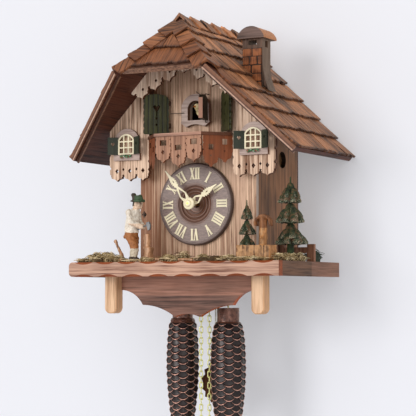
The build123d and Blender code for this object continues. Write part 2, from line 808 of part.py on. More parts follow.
with BuildPart() as cuckoo_door:
    shape = arched(door_wide / 2, door_base, door_side, door_peak)
    offset_x = pin_x + pin_edge - door_wide / 2
    closed = Plane(origin=spot(offset_x, pin_out - door_thick / 2, 0), x_dir=(1, 0, 0), z_dir=(0, -1, 0))
    add(extrude(closed * shape, amount=door_thick, mode=Mode.PRIVATE))
    with Locations(Location(spot(pin_x, pin_out, door_base))):
        Cylinder(radius=pin_r + fit, height=200, mode=Mode.SUBTRACT)
    swing = Axis(spot(pin_x, pin_out, 0), (0, 0, 1))
    turned = cuckoo_door.part.rotate(swing, open_deg)
    add(turned, mode=Mode.REPLACE)
save(cuckoo_door, "cuckoo_door")

wire_r = 0.5
latch_z = 111.5
with BuildPart() as door_wires:
    # pin of the door, its two stays, the catch beside the doorway and the clip above it
    pin_low = door_base - 2.4
    pin_high = door_peak + 2.4
    with Locations(Location(spot(pin_x, pin_out, (pin_low + pin_high) / 2))):
        Cylinder(radius=pin_r, height=pin_high - pin_low)
    for z, seat in ((pin_low, surround_thick), (pin_high, 0)):
        with Locations(Location(spot(pin_x, (pin_out + seat) / 2, z), (90, 0, 0))):
            Cylinder(radius=pin_r, height=pin_out - seat)
    with Locations(Location(spot(-15.5, surround_thick + 0.9, latch_z), (90, 0, 0))):
        Cylinder(radius=wire_r, height=1.8)
    with Locations(Location(spot(-24.5, surround_thick + 1.3, latch_z), (0, 90, 0))):
        Cylinder(radius=wire_r, height=18)
    with Locations(Location(spot(5.0, surround_thick + wire_r, 134.2), (0, 125, 0))):
        Cylinder(radius=wire_r, height=9)
save(door_wires, "door_wires")

# ---- cuckoo ----
bird_head = spot(0.6, 2.0, 119.0)
perch_z = 98.0             # height of the rod the bird slides on
perch_r = 0.8
perch_near = ply + 1.0
front_plate = 9.0          # depth of the movement's plates behind the wall's front face
back_plate = 36.0
with BuildPart() as cuckoo:
    with Locations(Location(bird_head)):
        Sphere(radius=3.9)
    with BuildSketch(Plane(origin=bird_head + Vector(-0.6, -3.0, -0.3), x_dir=(1, 0, 0),
                           z_dir=(-0.25, -1, 0))):
        Circle(radius=1.5)
    extrude(amount=4.2, taper=16)
    with Locations(Location(bird_head + Vector(0, 7.5, -6.2), (34, 0, 0))):
        body = Sphere(radius=4.8)
    with BuildSketch(Plane(origin=bird_head + Vector(0, 1.0, -1.6), x_dir=(1, 0, 0),
                           z_dir=(0, 0.78, -0.62))):
        Ellipse(3.4, 3.2)
    extrude(amount=10)
    with BuildSketch(Plane(origin=bird_head + Vector(0, 10, -8), x_dir=(1, 0, 0), z_dir=(0, 1, -0.3))):
        Ellipse(3.0, 1.3)
    extrude(amount=12, taper=3)
    # upright wire and the sliding rod it stands on
    perch_tall = 12.0
    with Locations(Location(spot(0, -perch_near - perch_r, perch_z + perch_tall / 2))):
        Cylinder(radius=perch_r, height=perch_tall)
    add(rod(0, perch_z, perch_near, back_plate + 24, perch_r))
save(cuckoo, "cuckoo")

# ---- small windows on the gable boards ----
pane_x = 87.4
pane_half = 11.1
pane_low = 62.5
pane_spring = 80.5
pane_top = 87.8
panel_thick = 4.0
with BuildPart() as window_surrounds:
    with BuildSketch(face(wing_front)):
        for side in (-1, 1):
            with Locations((side * pane_x, 0)):
                add(arched(17.3, 60.5, 82.0, 94.4))
            with Locations((side * pane_x, 59.4)):
                Rectangle(37.0, 8.2)
            with Locations((side * pane_x, 0)):
                add(arched(pane_half - 0.6, pane_low + 0.6, pane_spring, pane_top - 0.8),
                    mode=Mode.SUBTRACT)
    extrude(amount=panel_thick)
save(window_surrounds, "window_surrounds")

bar = 1.5
with BuildPart() as window_lattices:
    with BuildSketch(face(wing_front + panel_thick)):
        for side in (-1, 1):
            with Locations((side * pane_x, 0)):
                add(arched(pane_half, pane_low, pane_spring, pane_top))
                add(arched(pane_half - 1.7, pane_low + 1.7, pane_spring, pane_top - 1.9),
                    mode=Mode.SUBTRACT)
            for i in (-1, 1):
                with Locations((side * pane_x + i * 3.3, (pane_low + pane_top) / 2 - 0.2)):
                    Rectangle(bar, pane_top - pane_low - 2.6)
            for z in (70.9, 78.4):
                with Locations((side * pane_x, z)):
                    Rectangle(2 * pane_half - 2, bar)
    extrude(amount=1.8)
save(window_lattices, "window_lattices")

small_w = 12.8
small_deg = 35.0
with BuildPart() as window_shutters:
    leaf_tall = 21.4
    leaf = outline([(0, 0), (small_w, 0), (small_w, leaf_tall), (0, leaf_tall)])
    m = small_w / 2
    heart = [(m, 10.2), (m + 2.3, 13.6), (m + 1.6, 15.4), (m, 14.2), (m - 1.6, 15.4), (m - 2.3, 13.6)]
    leaf -= outline(heart)
    for side in (-1, 1):
        for hand in (-1, 1):
            a = math.radians(small_deg)
            run = Vector(hand * math.cos(a), -math.sin(a), 0)
            out = Vector(-hand * math.sin(a), -math.cos(a), 0)
            corner = spot(side * pane_x + hand * (pane_half + 1.4), wing_front + panel_thick + 0.1, 62.4)
            seat = Plane(origin=corner, x_dir=run, z_dir=run.cross(Vector(0, 0, 1)))
            add(extrude(seat * leaf, amount=2.0, dir=out, mode=Mode.PRIVATE))
save(window_shutters, "window_shutters")

bloom_r = 2.0
with BuildPart() as window_flowers:
    for side in (-1, 1):
        for dx, dz in ((-6.3, 0), (-2.1, 0.9), (2.1, 0.2), (6.3, 0.8)):
            out = wing_front + panel_thick + bloom_r + seam
            with Locations(Location(spot(side * pane_x + dx, out, pane_low - 2.9 + dz))):
                Sphere(radius=bloom_r)
save(window_flowers, "window_flowers")

# ======================= dial and hands =======================

with BuildPart() as dial:
    with BuildSketch(Plane(origin=(0, face_y, dial_z), x_dir=(1, 0, 0), z_dir=(0, 0, 1))):
        turned = [
            (4.5, 0), (dial_r, 0), (dial_r, 4.6), (49.2, 6.1), (48.0, dial_thick), (47.4, dial_thick),
            (47.1, 6.1), (46.7, 6.1), (46.4, dial_thick), (24.6, dial_thick), (24.0, 7.0),
            (23.0, 7.0), (22.4, 6.0), (21.0, 5.0), (20.2, 5.9), (19.2, 5.9), (18.4, 4.4),
            (17.0, 3.7), (16.2, 4.9), (15.2, 4.9), (14.4, 3.5), (12.6, 2.9), (11.8, 4.1),
            (10.8, 4.1), (10.0, 2.6), (7.0, 2.2), (4.5, 2.2),
        ]
        add(outline([(r, -h) for r, h in turned]))
    revolve(axis=Axis((0, face_y, dial_z), (0, 1, 0)), revolution_arc=360)
save(dial, "dial")

num_in = 30.0
num_out = 44.2
num_high = 0.8
thick_stroke = 2.3
fine_stroke = 1.1
serif = 0.9


def stroke(x0, x1, wide, foot=1.0):
    # One stroke of a numeral from its foot at x0 to its head at x1, with serifs
    tall = num_out - num_in
    half = wide / 2
    body = outline([(x0 - half, 0), (x0 + half, 0), (x1 + half, tall), (x1 - half, tall)])
    base = Pos(x0, serif / 2) * Face.make_rect(wide + 2 * foot, serif)
    head = Pos(x1, tall - serif / 2) * Face.make_rect(wide + 2 * foot, serif)
    return [body, base, head]


def numeral(text):
    # Strokes of a roman numeral, centred, foot at the origin
    widths = {"I": 3.3, "V": 7.4, "X": 7.4}
    total = sum(widths[c] for c in text)
    x = -total / 2
    parts = []
    for c in text:
        mid = x + widths[c] / 2
        if c == "I":
            parts += stroke(mid, mid, thick_stroke, 0.6)
        if c == "V":
            parts += stroke(mid, mid - 2.1, thick_stroke, 0.3)
            parts += stroke(mid, mid + 2.1, fine_stroke, 0.6)
        if c == "X":
            parts += stroke(mid + 2.0, mid - 2.0, thick_stroke, 0.4)
            parts += stroke(mid - 2.0, mid + 2.0, fine_stroke, 0.7)
        x += widths[c]
    return parts


hours = ["XII", "I", "II", "III", "IIII", "V", "VI", "VII", "VIII", "IX", "X", "XI"]
with BuildPart() as dial_numerals:
    for i, text in enumerate(hours):
        place = face(dial_thick) * Rot(0, 0, -30 * i) * Pos(0, num_in)
        for flat in numeral(text):
            add(extrude(place * flat, amount=num_high, mode=Mode.PRIVATE))
save(dial_numerals, "dial_numerals")

minute_deg = -39.5         # minute hand at rest, counted from upright, anticlockwise minus
hour_deg = 56.5
hour_out = 14.5            # back of the hour hand ahead of the wall
minute_out = 19.6
hand_thick = 1.4
pipe_r = 2.6


def hand_outline(length, root, loop_wide, leaf_wide, leaf_at):
    # Half of a carved chalet hand: hub, open loop, serrated leaf and point
    half = [(0, -root), (root * 0.75, -root * 0.7), (root, 0), (root * 0.8, root * 0.75)]
    neck = leaf_at - 7.0
    half += [(loop_wide, neck * 0.52), (loop_wide * 0.55, neck * 0.86), (1.3, neck)]
    steps = 5
    for i in range(steps):
        z = leaf_at + (i - 1.6) * 2.7
        wide = leaf_wide * (0.62 + 0.38 * math.sin(math.pi * (i + 0.7) / steps))
        half += [(wide, z), (wide * 0.62, z + 1.5)]
    half += [(1.5, leaf_at + 10.5), (0.55, length - 1.5), (0, length)]
    return half


def hand_face(length, root, loop_wide, leaf_wide, leaf_at, hole):
    right = hand_outline(length, root, loop_wide, leaf_wide, leaf_at)
    left = [(-x, z) for x, z in reversed(right[1:-1])]
    shape = outline(right + left)
    neck = leaf_at - 7.0
    wide = loop_wide - 1.4
    shape -= outline([(0, root + 1.2), (wide, neck * 0.52), (0, neck - 2.6), (-wide, neck * 0.52)])
    shape -= diamond(0, leaf_at + 1.5, 0.9, 2.4)
    return shape - disc(hole)


with BuildPart() as minute_hand:
    shape = hand_face(53.0, 5.2, 5.0, 4.2, 33.0, arbor_r)
    add(extrude(face(minute_out) * Rot(0, 0, -minute_deg) * shape, amount=hand_thick, mode=Mode.PRIVATE))
    hub = Plane(origin=(0, face_y - minute_out - hand_thick, dial_z), x_dir=(1, 0, 0), z_dir=(0, 0, 1))
    nut = [(arbor_r, 0), (7.2, 0), (7.4, -0.8), (6.9, -1.8), (4.6, -2.5), (4.2, -2.3), (4.0, -3.0),
           (3.2, -4.0), (arbor_r, -4.2)]
    add(revolve(hub * outline(nut), axis=Axis((0, 0, dial_z), (0, 1, 0)), mode=Mode.PRIVATE))
save(minute_hand, "minute_hand")

with BuildPart() as hour_hand:
    shape = hand_face(41.5, 5.0, 5.0, 4.6, 24.0, pipe_r)
    add(extrude(face(hour_out) * Rot(0, 0, -hour_deg) * shape, amount=hand_thick, mode=Mode.PRIVATE))
save(hour_hand, "hour_hand")

# ======================= movement =======================

plate_thick = 1.5
plate_half = 38.0
plate_low = -64.0
plate_high = 42.0
wheel_z = -30.0
escape_z = 19.0
anchor_z = 32.0
cock_z = anchor_z + 9.4    # wire the pendulum hangs from
hook_r = 1.2
pend = 47.0                # depth of the pendulum behind the wall's front face
leaf_z = -219.0            # middle of the pendulum's leaf


def gear(x, z, near, thick, r, teeth, bore_r):
    # Clock wheel with plain cut teeth and crossed-out rim
    corners = []
    for k in range(teeth):
        for part, rad in ((0.0, r - 1.3), (0.25, r - 1.3), (0.4, r), (0.75, r)):
            a = 2 * math.pi * (k + part) / teeth
            corners.append((rad * math.cos(a), rad * math.sin(a)))
    shape = outline(corners)
    for k in range(4):
        middle = math.radians(45 + 90 * k)
        away = Pos(r * 0.5 * math.cos(middle), r * 0.5 * math.sin(middle))
        shape -= away * Face.make_rect(r * 0.34, r * 0.34)
    shape -= disc(bore_r)
    return extrude(face(-near) * Pos(x, z) * shape, amount=-thick, mode=Mode.PRIVATE)


chain_arbor_r = 1.2
fine_arbor_r = 0.9
coil_r = 20.0              # outer turn of the gong
coil_wire = 1.0
head_r = 3.0               # round head of the gong's hammer
head_air = 2.0
hammer_x = coil_r + coil_wire + head_air + head_r
hammer_z = 14.0
arbors = ((0, 0, arbor_r), (wheel_x, wheel_z, chain_arbor_r), (-wheel_x, wheel_z, chain_arbor_r),
          (0, escape_z, fine_arbor_r), (0, anchor_z, fine_arbor_r), (hammer_x, hammer_z, fine_arbor_r))
pillar_r = 3.0
pillars = ((wheel_x, plate_low + 5), (-wheel_x, plate_low + 5),
           (plate_half - 4.5, plate_high - 5), (-plate_half + 4.5, plate_high - 5))
back_face = back_plate + plate_thick
with BuildPart() as movement_frame:
    # two brass plates, their pillars, the bird's guide and the pendulum's cock
    for depth in (front_plate, back_plate):
        with BuildSketch(face(-depth)):
            with Locations((0, (plate_low + plate_high) / 2)):
                Rectangle(2 * plate_half, plate_high - plate_low)
            if depth == back_plate:
                with Locations((0, (plate_high + perch_z + 3) / 2)):
                    Rectangle(9, perch_z + 3 - plate_high)
            with Locations((0, perch_z)):
                Circle(radius=perch_r + fit, mode=Mode.SUBTRACT)
            for x, z, r in arbors:
                with Locations((x, z)):
                    Circle(radius=r + fit, mode=Mode.SUBTRACT)
        extrude(amount=-plate_thick)
    for x, z in pillars:
        add(rod(x, z, ply, front_plate, pillar_r))
        add(rod(x, z, front_plate + plate_thick, back_plate, pillar_r))
    add(rod(0, perch_z, back_plate - 5, back_face + 6, 2.6))
    add(rod(0, perch_z, back_plate - 6, back_face + 7, perch_r + fit), mode=Mode.SUBTRACT)
    with BuildSketch(face(-back_face)):
        with Locations((0, cock_z - 2)):
            Rectangle(9, 6)
    extrude(amount=-2.0)
    add(rod(0, cock_z, back_face, pend + 6, hook_r))
save(movement_frame, "movement_frame")

with BuildPart() as minute_arbor:
    add(rod(0, 0, -minute_out - hand_thick - 4.2, back_face + 1.5, arbor_r))
    add(gear(0, 0, 28.0, 1.6, 14.0, 36, arbor_r))
save(minute_arbor, "minute_arbor")

with BuildPart() as hour_pipe:
    pipe = rod(0, 0, -hour_out - hand_thick - 1.2, front_plate - 0.4, pipe_r)
    pipe -= rod(0, 0, -hour_out - 10, front_plate + 2, arbor_r + fit)
    add(pipe)
save(hour_pipe, "hour_pipe")


chain_half = 2.5           # half the width of a chain link


def chain_wheel(x):
    # Chain wheel, its two flanges and the great wheel, all on one arbor
    body = rod(x, wheel_z, 15.6, 24.4, wheel_r - chain_half - 0.1)
    body += rod(x, wheel_z, 14.4, 15.6, wheel_r + 1.4)
    body += rod(x, wheel_z, 24.4, 25.6, wheel_r + 1.4)
    body += gear(x, wheel_z, 25.6, 1.8, 17.9, 48, 1.0)
    body += rod(x, wheel_z, front_plate - 0.8, back_face + 0.8, chain_arbor_r)
    return body


with BuildPart() as chain_wheel_right:
    add(chain_wheel(wheel_x))
save(chain_wheel_right, "chain_wheel_right")

with BuildPart() as chain_wheel_left:
    add(chain_wheel(-wheel_x))
save(chain_wheel_left, "chain_wheel_left")

with BuildPart() as escape_wheel:
    add(gear(0, escape_z, 31.6, 1.2, 8.2, 30, fine_arbor_r - 0.05))
    add(rod(0, escape_z, front_plate - 0.6, back_face + 0.6, fine_arbor_r))
save(escape_wheel, "escape_wheel")

# ---- anchor with its crutch, and the pendulum ----
fork_drop = 51.0
with BuildPart() as anchor:
    add(rod(0, anchor_z, front_plate - 0.6, pend - 2.4, fine_arbor_r))
    add(rod(0, anchor_z, 30.8, 33.6, 2.2))
    arms = [(-8.2, -4.4), (-6.4, -2.0), (0, 2.2), (6.4, -2.0)]
    arms += [(8.2, -4.4), (5.8, -2.9), (0, 0.2), (-5.8, -2.9)]
    add(plate(face(-31.6), [(x, anchor_z + z) for x, z in arms], -1.2))
    add(rod(0, anchor_z, pend - 4.4, pend - 2.4, 2.4))
    stem = [(-1.1, -fork_drop + 0.8), (1.1, -fork_drop + 0.8), (1.1, -1), (-1.1, -1)]
    add(plate(face(-(pend - 3.6)), [(x, anchor_z + z) for x, z in stem], -1.0))
    with Locations(Location(spot(0, -pend + 0.6, anchor_z - fork_drop))):
        Box(4.8, 7.0, 1.6)
    with Locations(Location(spot(0, -pend - 1, anchor_z - fork_drop))):
        Box(2.3, 5.0, 4, mode=Mode.SUBTRACT)
save(anchor, "anchor")

loop_wire = 0.8
loop_r = hook_r + fit + loop_wire
rod_top = cock_z - loop_r
with BuildPart() as pendulum_rod:
    add(Location(spot(0, -pend, leaf_z + 34)) * Solid.make_cylinder(0.9, rod_top - leaf_z - 34))
    with Locations(Location(spot(0, -pend, cock_z), (90, 0, 0))):
        Torus(major_radius=loop_r, minor_radius=loop_wire)
save(pendulum_rod, "pendulum_rod")

with BuildPart() as pendulum_leaf:
    lobes = [(0, 34), (3, 28), (8.5, 25), (9.5, 19.5), (15.5, 17), (14.5, 11), (19.5, 6), (17, 0.5),
             (19.5, -6), (14, -10), (14.5, -16.5), (8.5, -17.5), (6, -23.5), (2, -22), (1.2, -30), (0, -31)]
    leaf_shape = lobes + [(-x, z) for x, z in reversed(lobes[1:-1])]
    add(plate(face(-(pend - 1.1)), [(x, leaf_z + z) for x, z in leaf_shape], -2.2))
save(pendulum_leaf, "pendulum_leaf")

# ---- gong, its hammer and the two cuckoo bellows ----
gong_y = face_y + 101.2    # plane of the coiled gong
gong_z = dial_z - 25.0
with BuildPart() as gong:
    with Locations(Location((0, gong_y - 11, dial_z + base_top + 7))):
        Box(20, 22, 14)
    with Locations(Location((0, gong_y + 1, dial_z + base_top + 14.5))):
        Box(5, 2.0, 29)
    with Locations(Location((0, gong_y + 1, gong_z))):
        Box(2.2, 1.6, 2 * coil_r + 1)
    for r in (11.0, 15.5, coil_r):
        add(Location((0, gong_y + 1, gong_z), (90, 0, 0)) * Solid.make_torus(r, coil_wire))
save(gong, "gong")

with BuildPart() as gong_hammer:
    add(rod(hammer_x, hammer_z, front_plate - 0.6, gong_y - face_y + 2, fine_arbor_r))
    pivot_end = spot(hammer_x, face_y - gong_y, hammer_z)
    head_end = Vector(hammer_x, gong_y, gong_z)
    arm = head_end - pivot_end
    add(Solid.make_cylinder(fine_arbor_r, arm.length, Plane(origin=pivot_end, z_dir=arm.normalized())))
    add(Location(head_end) * Solid.make_sphere(head_r, Plane.XY))
save(gong_hammer, "gong_hammer")

bellows_x = house_half - ply - 12.0
bellows_y = face_y + 74.0
bellows_low = 66.0
bellows_wide = 24.0
bellows_deep = 28.0
with BuildPart() as bellows:
    for side in (-1, 1):
        with Locations(Location((side * bellows_x, bellows_y, dial_z + bellows_low - 24))):
            Box(bellows_wide, bellows_deep, 60)
            Box(bellows_wide - 5, bellows_deep - 5, 55, mode=Mode.SUBTRACT)
        mouth_y = bellows_y - bellows_deep / 2
        with Locations(Location((side * bellows_x, mouth_y, dial_z + bellows_low - 6))):
            Box(10, 8, 3, mode=Mode.SUBTRACT)
        with Locations(Location((side * bellows_x, bellows_y, dial_z + bellows_low + 8.5))):
            Box(bellows_wide - 1, bellows_deep - 1, 5)
save(bellows, "bellows")

lid_thick = 3.0


def bellows_lid(side):
    where = Location((side * bellows_x, bellows_y, dial_z + bellows_low + 11 + gap + lid_thick / 2))
    return where * Solid.make_box(bellows_wide, bellows_deep, lid_thick,
                                  Plane((-bellows_wide / 2, -bellows_deep / 2, -lid_thick / 2)))


with BuildPart() as bellows_lid_right:
    add(bellows_lid(1))
save(bellows_lid_right, "bellows_lid_right")

with BuildPart() as bellows_lid_left:
    add(bellows_lid(-1))
save(bellows_lid_left, "bellows_lid_left")

# ======================= weights and chains =======================


def cone(x, top, scale, collar_tall):
    # Cast fir cone: round collar, shoulder, belly and a drawn-out tip
    rings = [
        (0, top), (13.9, top), (13.9, top - collar_tall), (15.4, top - collar_tall - 0.6),
        (18.4, top - collar_tall - 6), (20.4, top - collar_tall - 18), (21.8, top - collar_tall - 38),
        (22.2, top - collar_tall - 56), (21.4, top - collar_tall - 78), (18.9, top - collar_tall - 104),
        (15.2, top - collar_tall - 130), (10.6, top - collar_tall - 152),
        (5.4, top - collar_tall - 166), (0, top - collar_tall - 172),
    ]
    outer = [Vector(x + r * scale, z) for r, z in rings]
    straight = [Edge.make_line(a, b) for a, b in zip(outer[:4], outer[1:5])]
    belly = Edge.make_spline(outer[4:])
    back = Edge.make_line(outer[-1], outer[0])
    flat = Face(Wire(straight + [belly, back]))
    place = Plane(origin=(0, strand_y, dial_z), x_dir=(1, 0, 0), z_dir=(0, -1, 0))
    return revolve(place * flat, axis=Axis((x, strand_y, 0), (0, 0, 1)), mode=Mode.PRIVATE)


loaded_x = wheel_x + wheel_r
free_x = wheel_x - wheel_r
weight_right_top = -125.6
weight_left_top = -121.5
with BuildPart() as weight_right:
    add(cone(loaded_x, weight_right_top, 1.0, 16.6))
save(weight_right, "weight_right")

with BuildPart() as weight_left:
    add(cone(-loaded_x, weight_left_top, 0.93, 16.6))
save(weight_left, "weight_left")

link_pitch = 6.75
link_wire = 0.65
link_half = chain_half - link_wire


def link():
    # One oval chain link standing upright in the plane facing the front
    reach = (link_pitch + 0.1 + 2 * link_wire) / 2 - link_half
    a = Vector(link_half, 0, -reach)
    b = Vector(link_half, 0, reach)
    c = Vector(-link_half, 0, reach)
    d = Vector(-link_half, 0, -reach)
    path = Wire([
        Edge.make_line(a, b),
        Edge.make_three_point_arc(b, Vector(0, 0, reach + link_half), c),
        Edge.make_line(c, d),
        Edge.make_three_point_arc(d, Vector(0, 0, -reach - link_half), a),
    ])
    ring = Face(Wire(Edge.make_circle(link_wire, Plane(origin=a, z_dir=(0, 0, 1)))))
    return Solid.sweep(ring, path)


one_link = link()
turn_deg = 28.0


def strand(x, low, high):
    # Straight run of links counted up from its lowest, each turned a quarter against the next
    count = int((high - low) / link_pitch)
    return [
        Location((x, strand_y, dial_z + low + (i + 0.5) * link_pitch), (0, 0, turn_deg + 90 * (i % 2)))
        * one_link
        for i in range(count)
    ]


def hook(x, top):
    # Wire hook cast into the weight, its eye through the lowest link
    place = Location((x, strand_y, dial_z + top))
    stem = place * Solid.make_cylinder(0.9, 4.6)
    eye = place * Pos(0, 0, eye_rise) * Rot(90, 0, 0) * Solid.make_torus(eye_r, 0.8)
    return stem + eye


travel = 60.0              # how far a weight sinks in the modelled movement
eye_r = 2.9
eye_rise = 4.4 + eye_r
link_rise = eye_rise + eye_r - 0.8 - link_wire
with BuildPart() as chain_right_loaded:
    add(strand(loaded_x, weight_right_top + link_rise, wheel_z + travel))
    add(hook(loaded_x, weight_right_top))
save(chain_right_loaded, "chain_right_loaded")

with BuildPart() as chain_left_loaded:
    add(strand(-loaded_x, weight_left_top + link_rise, wheel_z + travel))
    add(hook(-loaded_x, weight_left_top))
save(chain_left_loaded, "chain_left_loaded")

end_ring_r = 5.2
free_low = -398.75
ring_z = free_low - end_ring_r + 0.8 + link_wire + 0.1


def free_strand(x):
    place = Location((x, strand_y, dial_z + ring_z), (0, 0, turn_deg)) * Rot(90, 0, 0)
    ring = place * Solid.make_torus(end_ring_r, 0.8)
    return strand(x, free_low, wheel_z + link_pitch) + [ring]


with BuildPart() as chain_right_free:
    add(free_strand(free_x))
save(chain_right_free, "chain_right_free")

with BuildPart() as chain_left_free:
    add(free_strand(-free_x))
save(chain_left_free, "chain_left_free")

# ======================= figures on the base =======================


def stack(rings):
    # Rounded body through a pile of level ellipses: x, distance out, height, two radii
    faces = []
    for x, out, z, rx, ry in rings:
        edge = Edge.make_ellipse(rx, ry, Plane(origin=spot(x, out, z), x_dir=(1, 0, 0), z_dir=(0, 0, 1))) \
            if rx >= ry else \
            Edge.make_ellipse(ry, rx, Plane(origin=spot(x, out, z), x_dir=(0, 1, 0), z_dir=(0, 0, 1)))
        faces.append(Face(Wire(edge)))
    return loft(faces, mode=Mode.PRIVATE)


def limb(start, finish, r0, r1):
    # Round tapering limb between two points
    way = finish - start
    place = Plane(origin=start, z_dir=way.normalized())
    if r0 == r1:
        return Solid.make_cylinder(r0, way.length, place)
    return Solid.make_cone(r0, r1, way.length, place)


def ball(x, out, z, r):
    return Location(spot(x, out, z)) * Solid.make_sphere(r, Plane.XY)


ground = base_top


def stand(x, out, height):
    # Point at a height above the deck
    return spot(x, out, ground + height)


man_out = 45.0             # how far the man stands out from the front wall
shoulder_x = -63.5
shoulder_tall = 60.5
arm_out = 11.5             # arms, either side of his middle
shoulder_pin_r = 0.9                # shoulder pin
haft_r = 0.95
lever_rod_x = -74.5        # wire from the movement that lifts the arms
haft_start = stand(-58.0, man_out, 39.0)
haft_end = stand(-40.4, man_out, 46.5)
with BuildPart() as woodchopper:
    # trunk, neck, head, hat brim, crown and brush
    body = [(-67, 29.5, 7.0, 7.6), (-66.5, 36.5, 7.6, 8.2), (-64.5, 48.5, 7.2, 8.6)]
    body += [(-62.5, 57.5, 6.2, 8.2), (-60.5, 63.0, 3.6, 4.6)]
    brim = [(-57.8, 73.1, 8.4, 8.2), (-57.8, 74.3, 8.2, 8.0)]
    crown = [(-58.0, 74.2, 5.8, 5.6), (-58.2, 77.5, 5.4, 5.2), (-58.4, 80.1, 4.6, 4.4)]
    for rings in (body, brim, crown):
        add(stack([(x, man_out, ground + height, rx, ry) for x, height, rx, ry in rings]))
    add(limb(stand(-60.8, man_out, 62.0), stand(-58.5, man_out, 66.5), 2.8, 2.6))
    add(ball(-57.6, man_out, ground + 69.9, 5.6))
    add(limb(stand(-63.0, man_out - 2, 75.0), stand(-64.5, man_out - 2, 82.0), 1.2, 1.9))
    # thighs, knees, shins and boots
    for out in (-4.2, 4.2):
        knee = stand(-61.5 + out * 0.6, man_out + out * 1.1, 18.5)
        foot_out = man_out + out * 1.1
        add(limb(stand(-66.5, man_out + out, 32.5), knee, 5.0, 4.4))
        add(limb(knee, stand(-64.5 + out, foot_out, 3.5), 4.3, 2.8))
        add(Location(knee) * Solid.make_sphere(4.38, Plane.XY))
        sole = (-61.5 + out, foot_out, ground, 6.0, 3.2)
        ankle = (-63.0 + out, foot_out, ground + 4.4, 4.0, 2.9)
        add(stack([sole, ankle]))
    pivot = Location(stand(shoulder_x, man_out, shoulder_tall)) * Rot(90, 0, 0)
    bore_long = 60.0
    bore = Solid.make_cylinder(shoulder_pin_r + fit, bore_long, Plane((0, 0, -bore_long / 2)))
    add(pivot * bore, mode=Mode.SUBTRACT)
save(woodchopper, "woodchopper")

with BuildPart() as chopper_arms:
    pin_long = 25.0
    add(pivot * Solid.make_cylinder(shoulder_pin_r, pin_long, Plane((0, 0, -pin_long / 2))))
    for out in (-1, 1):
        top = stand(shoulder_x, man_out + out * (arm_out - 0.1), shoulder_tall)
        elbow = stand(-60.5, man_out + out * (arm_out + 0.1), 48.0)
        wrist = stand(-52.0, man_out + out * 3.6, 42.9)
        fist = stand(-51.4, man_out + out * 2.6, 42.5)
        add(limb(top, elbow, 2.7, 2.5))
        add(limb(elbow, wrist, 2.5, 1.9))
        for place, r in ((top, 2.75), (elbow, 2.55), (fist, 2.5)):
            add(Location(place) * Solid.make_sphere(r, Plane.XY))
    crank_out = man_out - 12.0
    lever = stand(lever_rod_x, crank_out, shoulder_tall)
    add(limb(stand(shoulder_x, crank_out, shoulder_tall), lever, shoulder_pin_r, 0.6))
    add(limb(lever + Vector(0, -0.6, 0), stand(lever_rod_x, -ply + 0.5, shoulder_tall), 0.55, 0.55))
    add(limb(haft_start, haft_end, haft_r, haft_r), mode=Mode.SUBTRACT)
save(chopper_arms, "chopper_arms")

with BuildPart() as axe:
    head_thick = 3.2
    blade = [(-45.0, 47.3), (-41.4, 48.5), (-39.6, 44.7), (-40.0, 39.1), (-42.6, 37.9), (-44.2, 42.5)]
    seen = [(x, ground + height) for x, height in blade]
    add(plate(face(man_out - head_thick / 2), seen, head_thick))
    add(limb(haft_start, haft_end, haft_r, haft_r))
save(axe, "axe")

block_tall = 18.0
with BuildPart() as woodpile:
    # chopping block with the log on it, then split wood lying on the base
    block = [(-40.5, man_out, ground, 10.5, 9.0), (-41.5, man_out, ground + 4, 7.8, 7.4)]
    block += [(-42.0, man_out, ground + block_tall, 7.2, 7.0)]
    add(stack(block))
    log = [(-43.6, man_out + 1, ground + block_tall, 4.6, 4.2)]
    log += [(-44.2, man_out + 1, ground + block_tall + 16.3, 4.9, 4.4)]
    add(stack(log))
    add(limb(stand(-94, 38, 27.5), stand(-78, 42, 1.7), 2.3, 2.7))
    add(limb(stand(-82, 50, 2.6), stand(-72, 59, 2.3), 2.6, 2.2))
    add(limb(stand(-29, 52, 2.7), stand(-8, 47, 2.5), 2.7, 2.4))
    add(limb(stand(-15, 40, 2.3), stand(-2, 42, 2.1), 2.2, 2.0))
    add(limb(stand(4, 56, 2.3), stand(22, 50, 2.1), 2.3, 2.1))
save(woodpile, "woodpile")

trough_x = 103.0
trough_out = 46.0
trough_long = 44.0
trough_deep = 19.0
trough_tall = 18.4
trough_wall = 3.0
trough_floor = 8.4
well_x = 104.5
well_out = 30.4
well_post_r = 4.9
arch_tall = 43.3           # height of the arched roof's centre above the deck
arch_r = 11.4
arch_inner = 7.8
arch_legs = 2.6            # how far the arch runs straight down below its centre
roof_long = 9.6
with BuildPart() as well:
    with Locations(Location(stand(trough_x, trough_out, trough_tall / 2))):
        Box(trough_long, trough_deep, trough_tall)
    fillet(well.edges().filter_by(Axis.X).group_by(Axis.Z)[0], radius=5)
    hollow_tall = 2 * (trough_tall - trough_floor)
    with Locations(Location(stand(trough_x, trough_out, trough_tall))):
        Box(trough_long - 2 * trough_wall, trough_deep - 2 * trough_wall, hollow_tall,
            mode=Mode.SUBTRACT)
    # log post with its spout
    post_tall = arch_tall + arch_inner + 1.0
    add(Location(stand(well_x, well_out, 0)) * Solid.make_cylinder(well_post_r, post_tall))
    spout_start = stand(well_x + 1, well_out + 3.6, 29.5)
    add(limb(spout_start, stand(well_x + 1, well_out + 11, 25.5), 1.5, 1.3))
    # arched roof on the post
    with BuildSketch(face(well_out - roof_long / 2)):
        with Locations((well_x, ground + arch_tall)):
            add(disc(arch_r) - disc(arch_inner))
            low = -arch_r / 2
            add(Pos(0, low) * Face.make_rect(3 * arch_r, arch_r), mode=Mode.SUBTRACT)
            for side in (-1, 1):
                leg = Face.make_rect(arch_r - arch_inner, arch_legs)
                add(Pos(side * (arch_r + arch_inner) / 2, -arch_legs / 2) * leg)
    extrude(amount=roof_long)
save(well, "well")


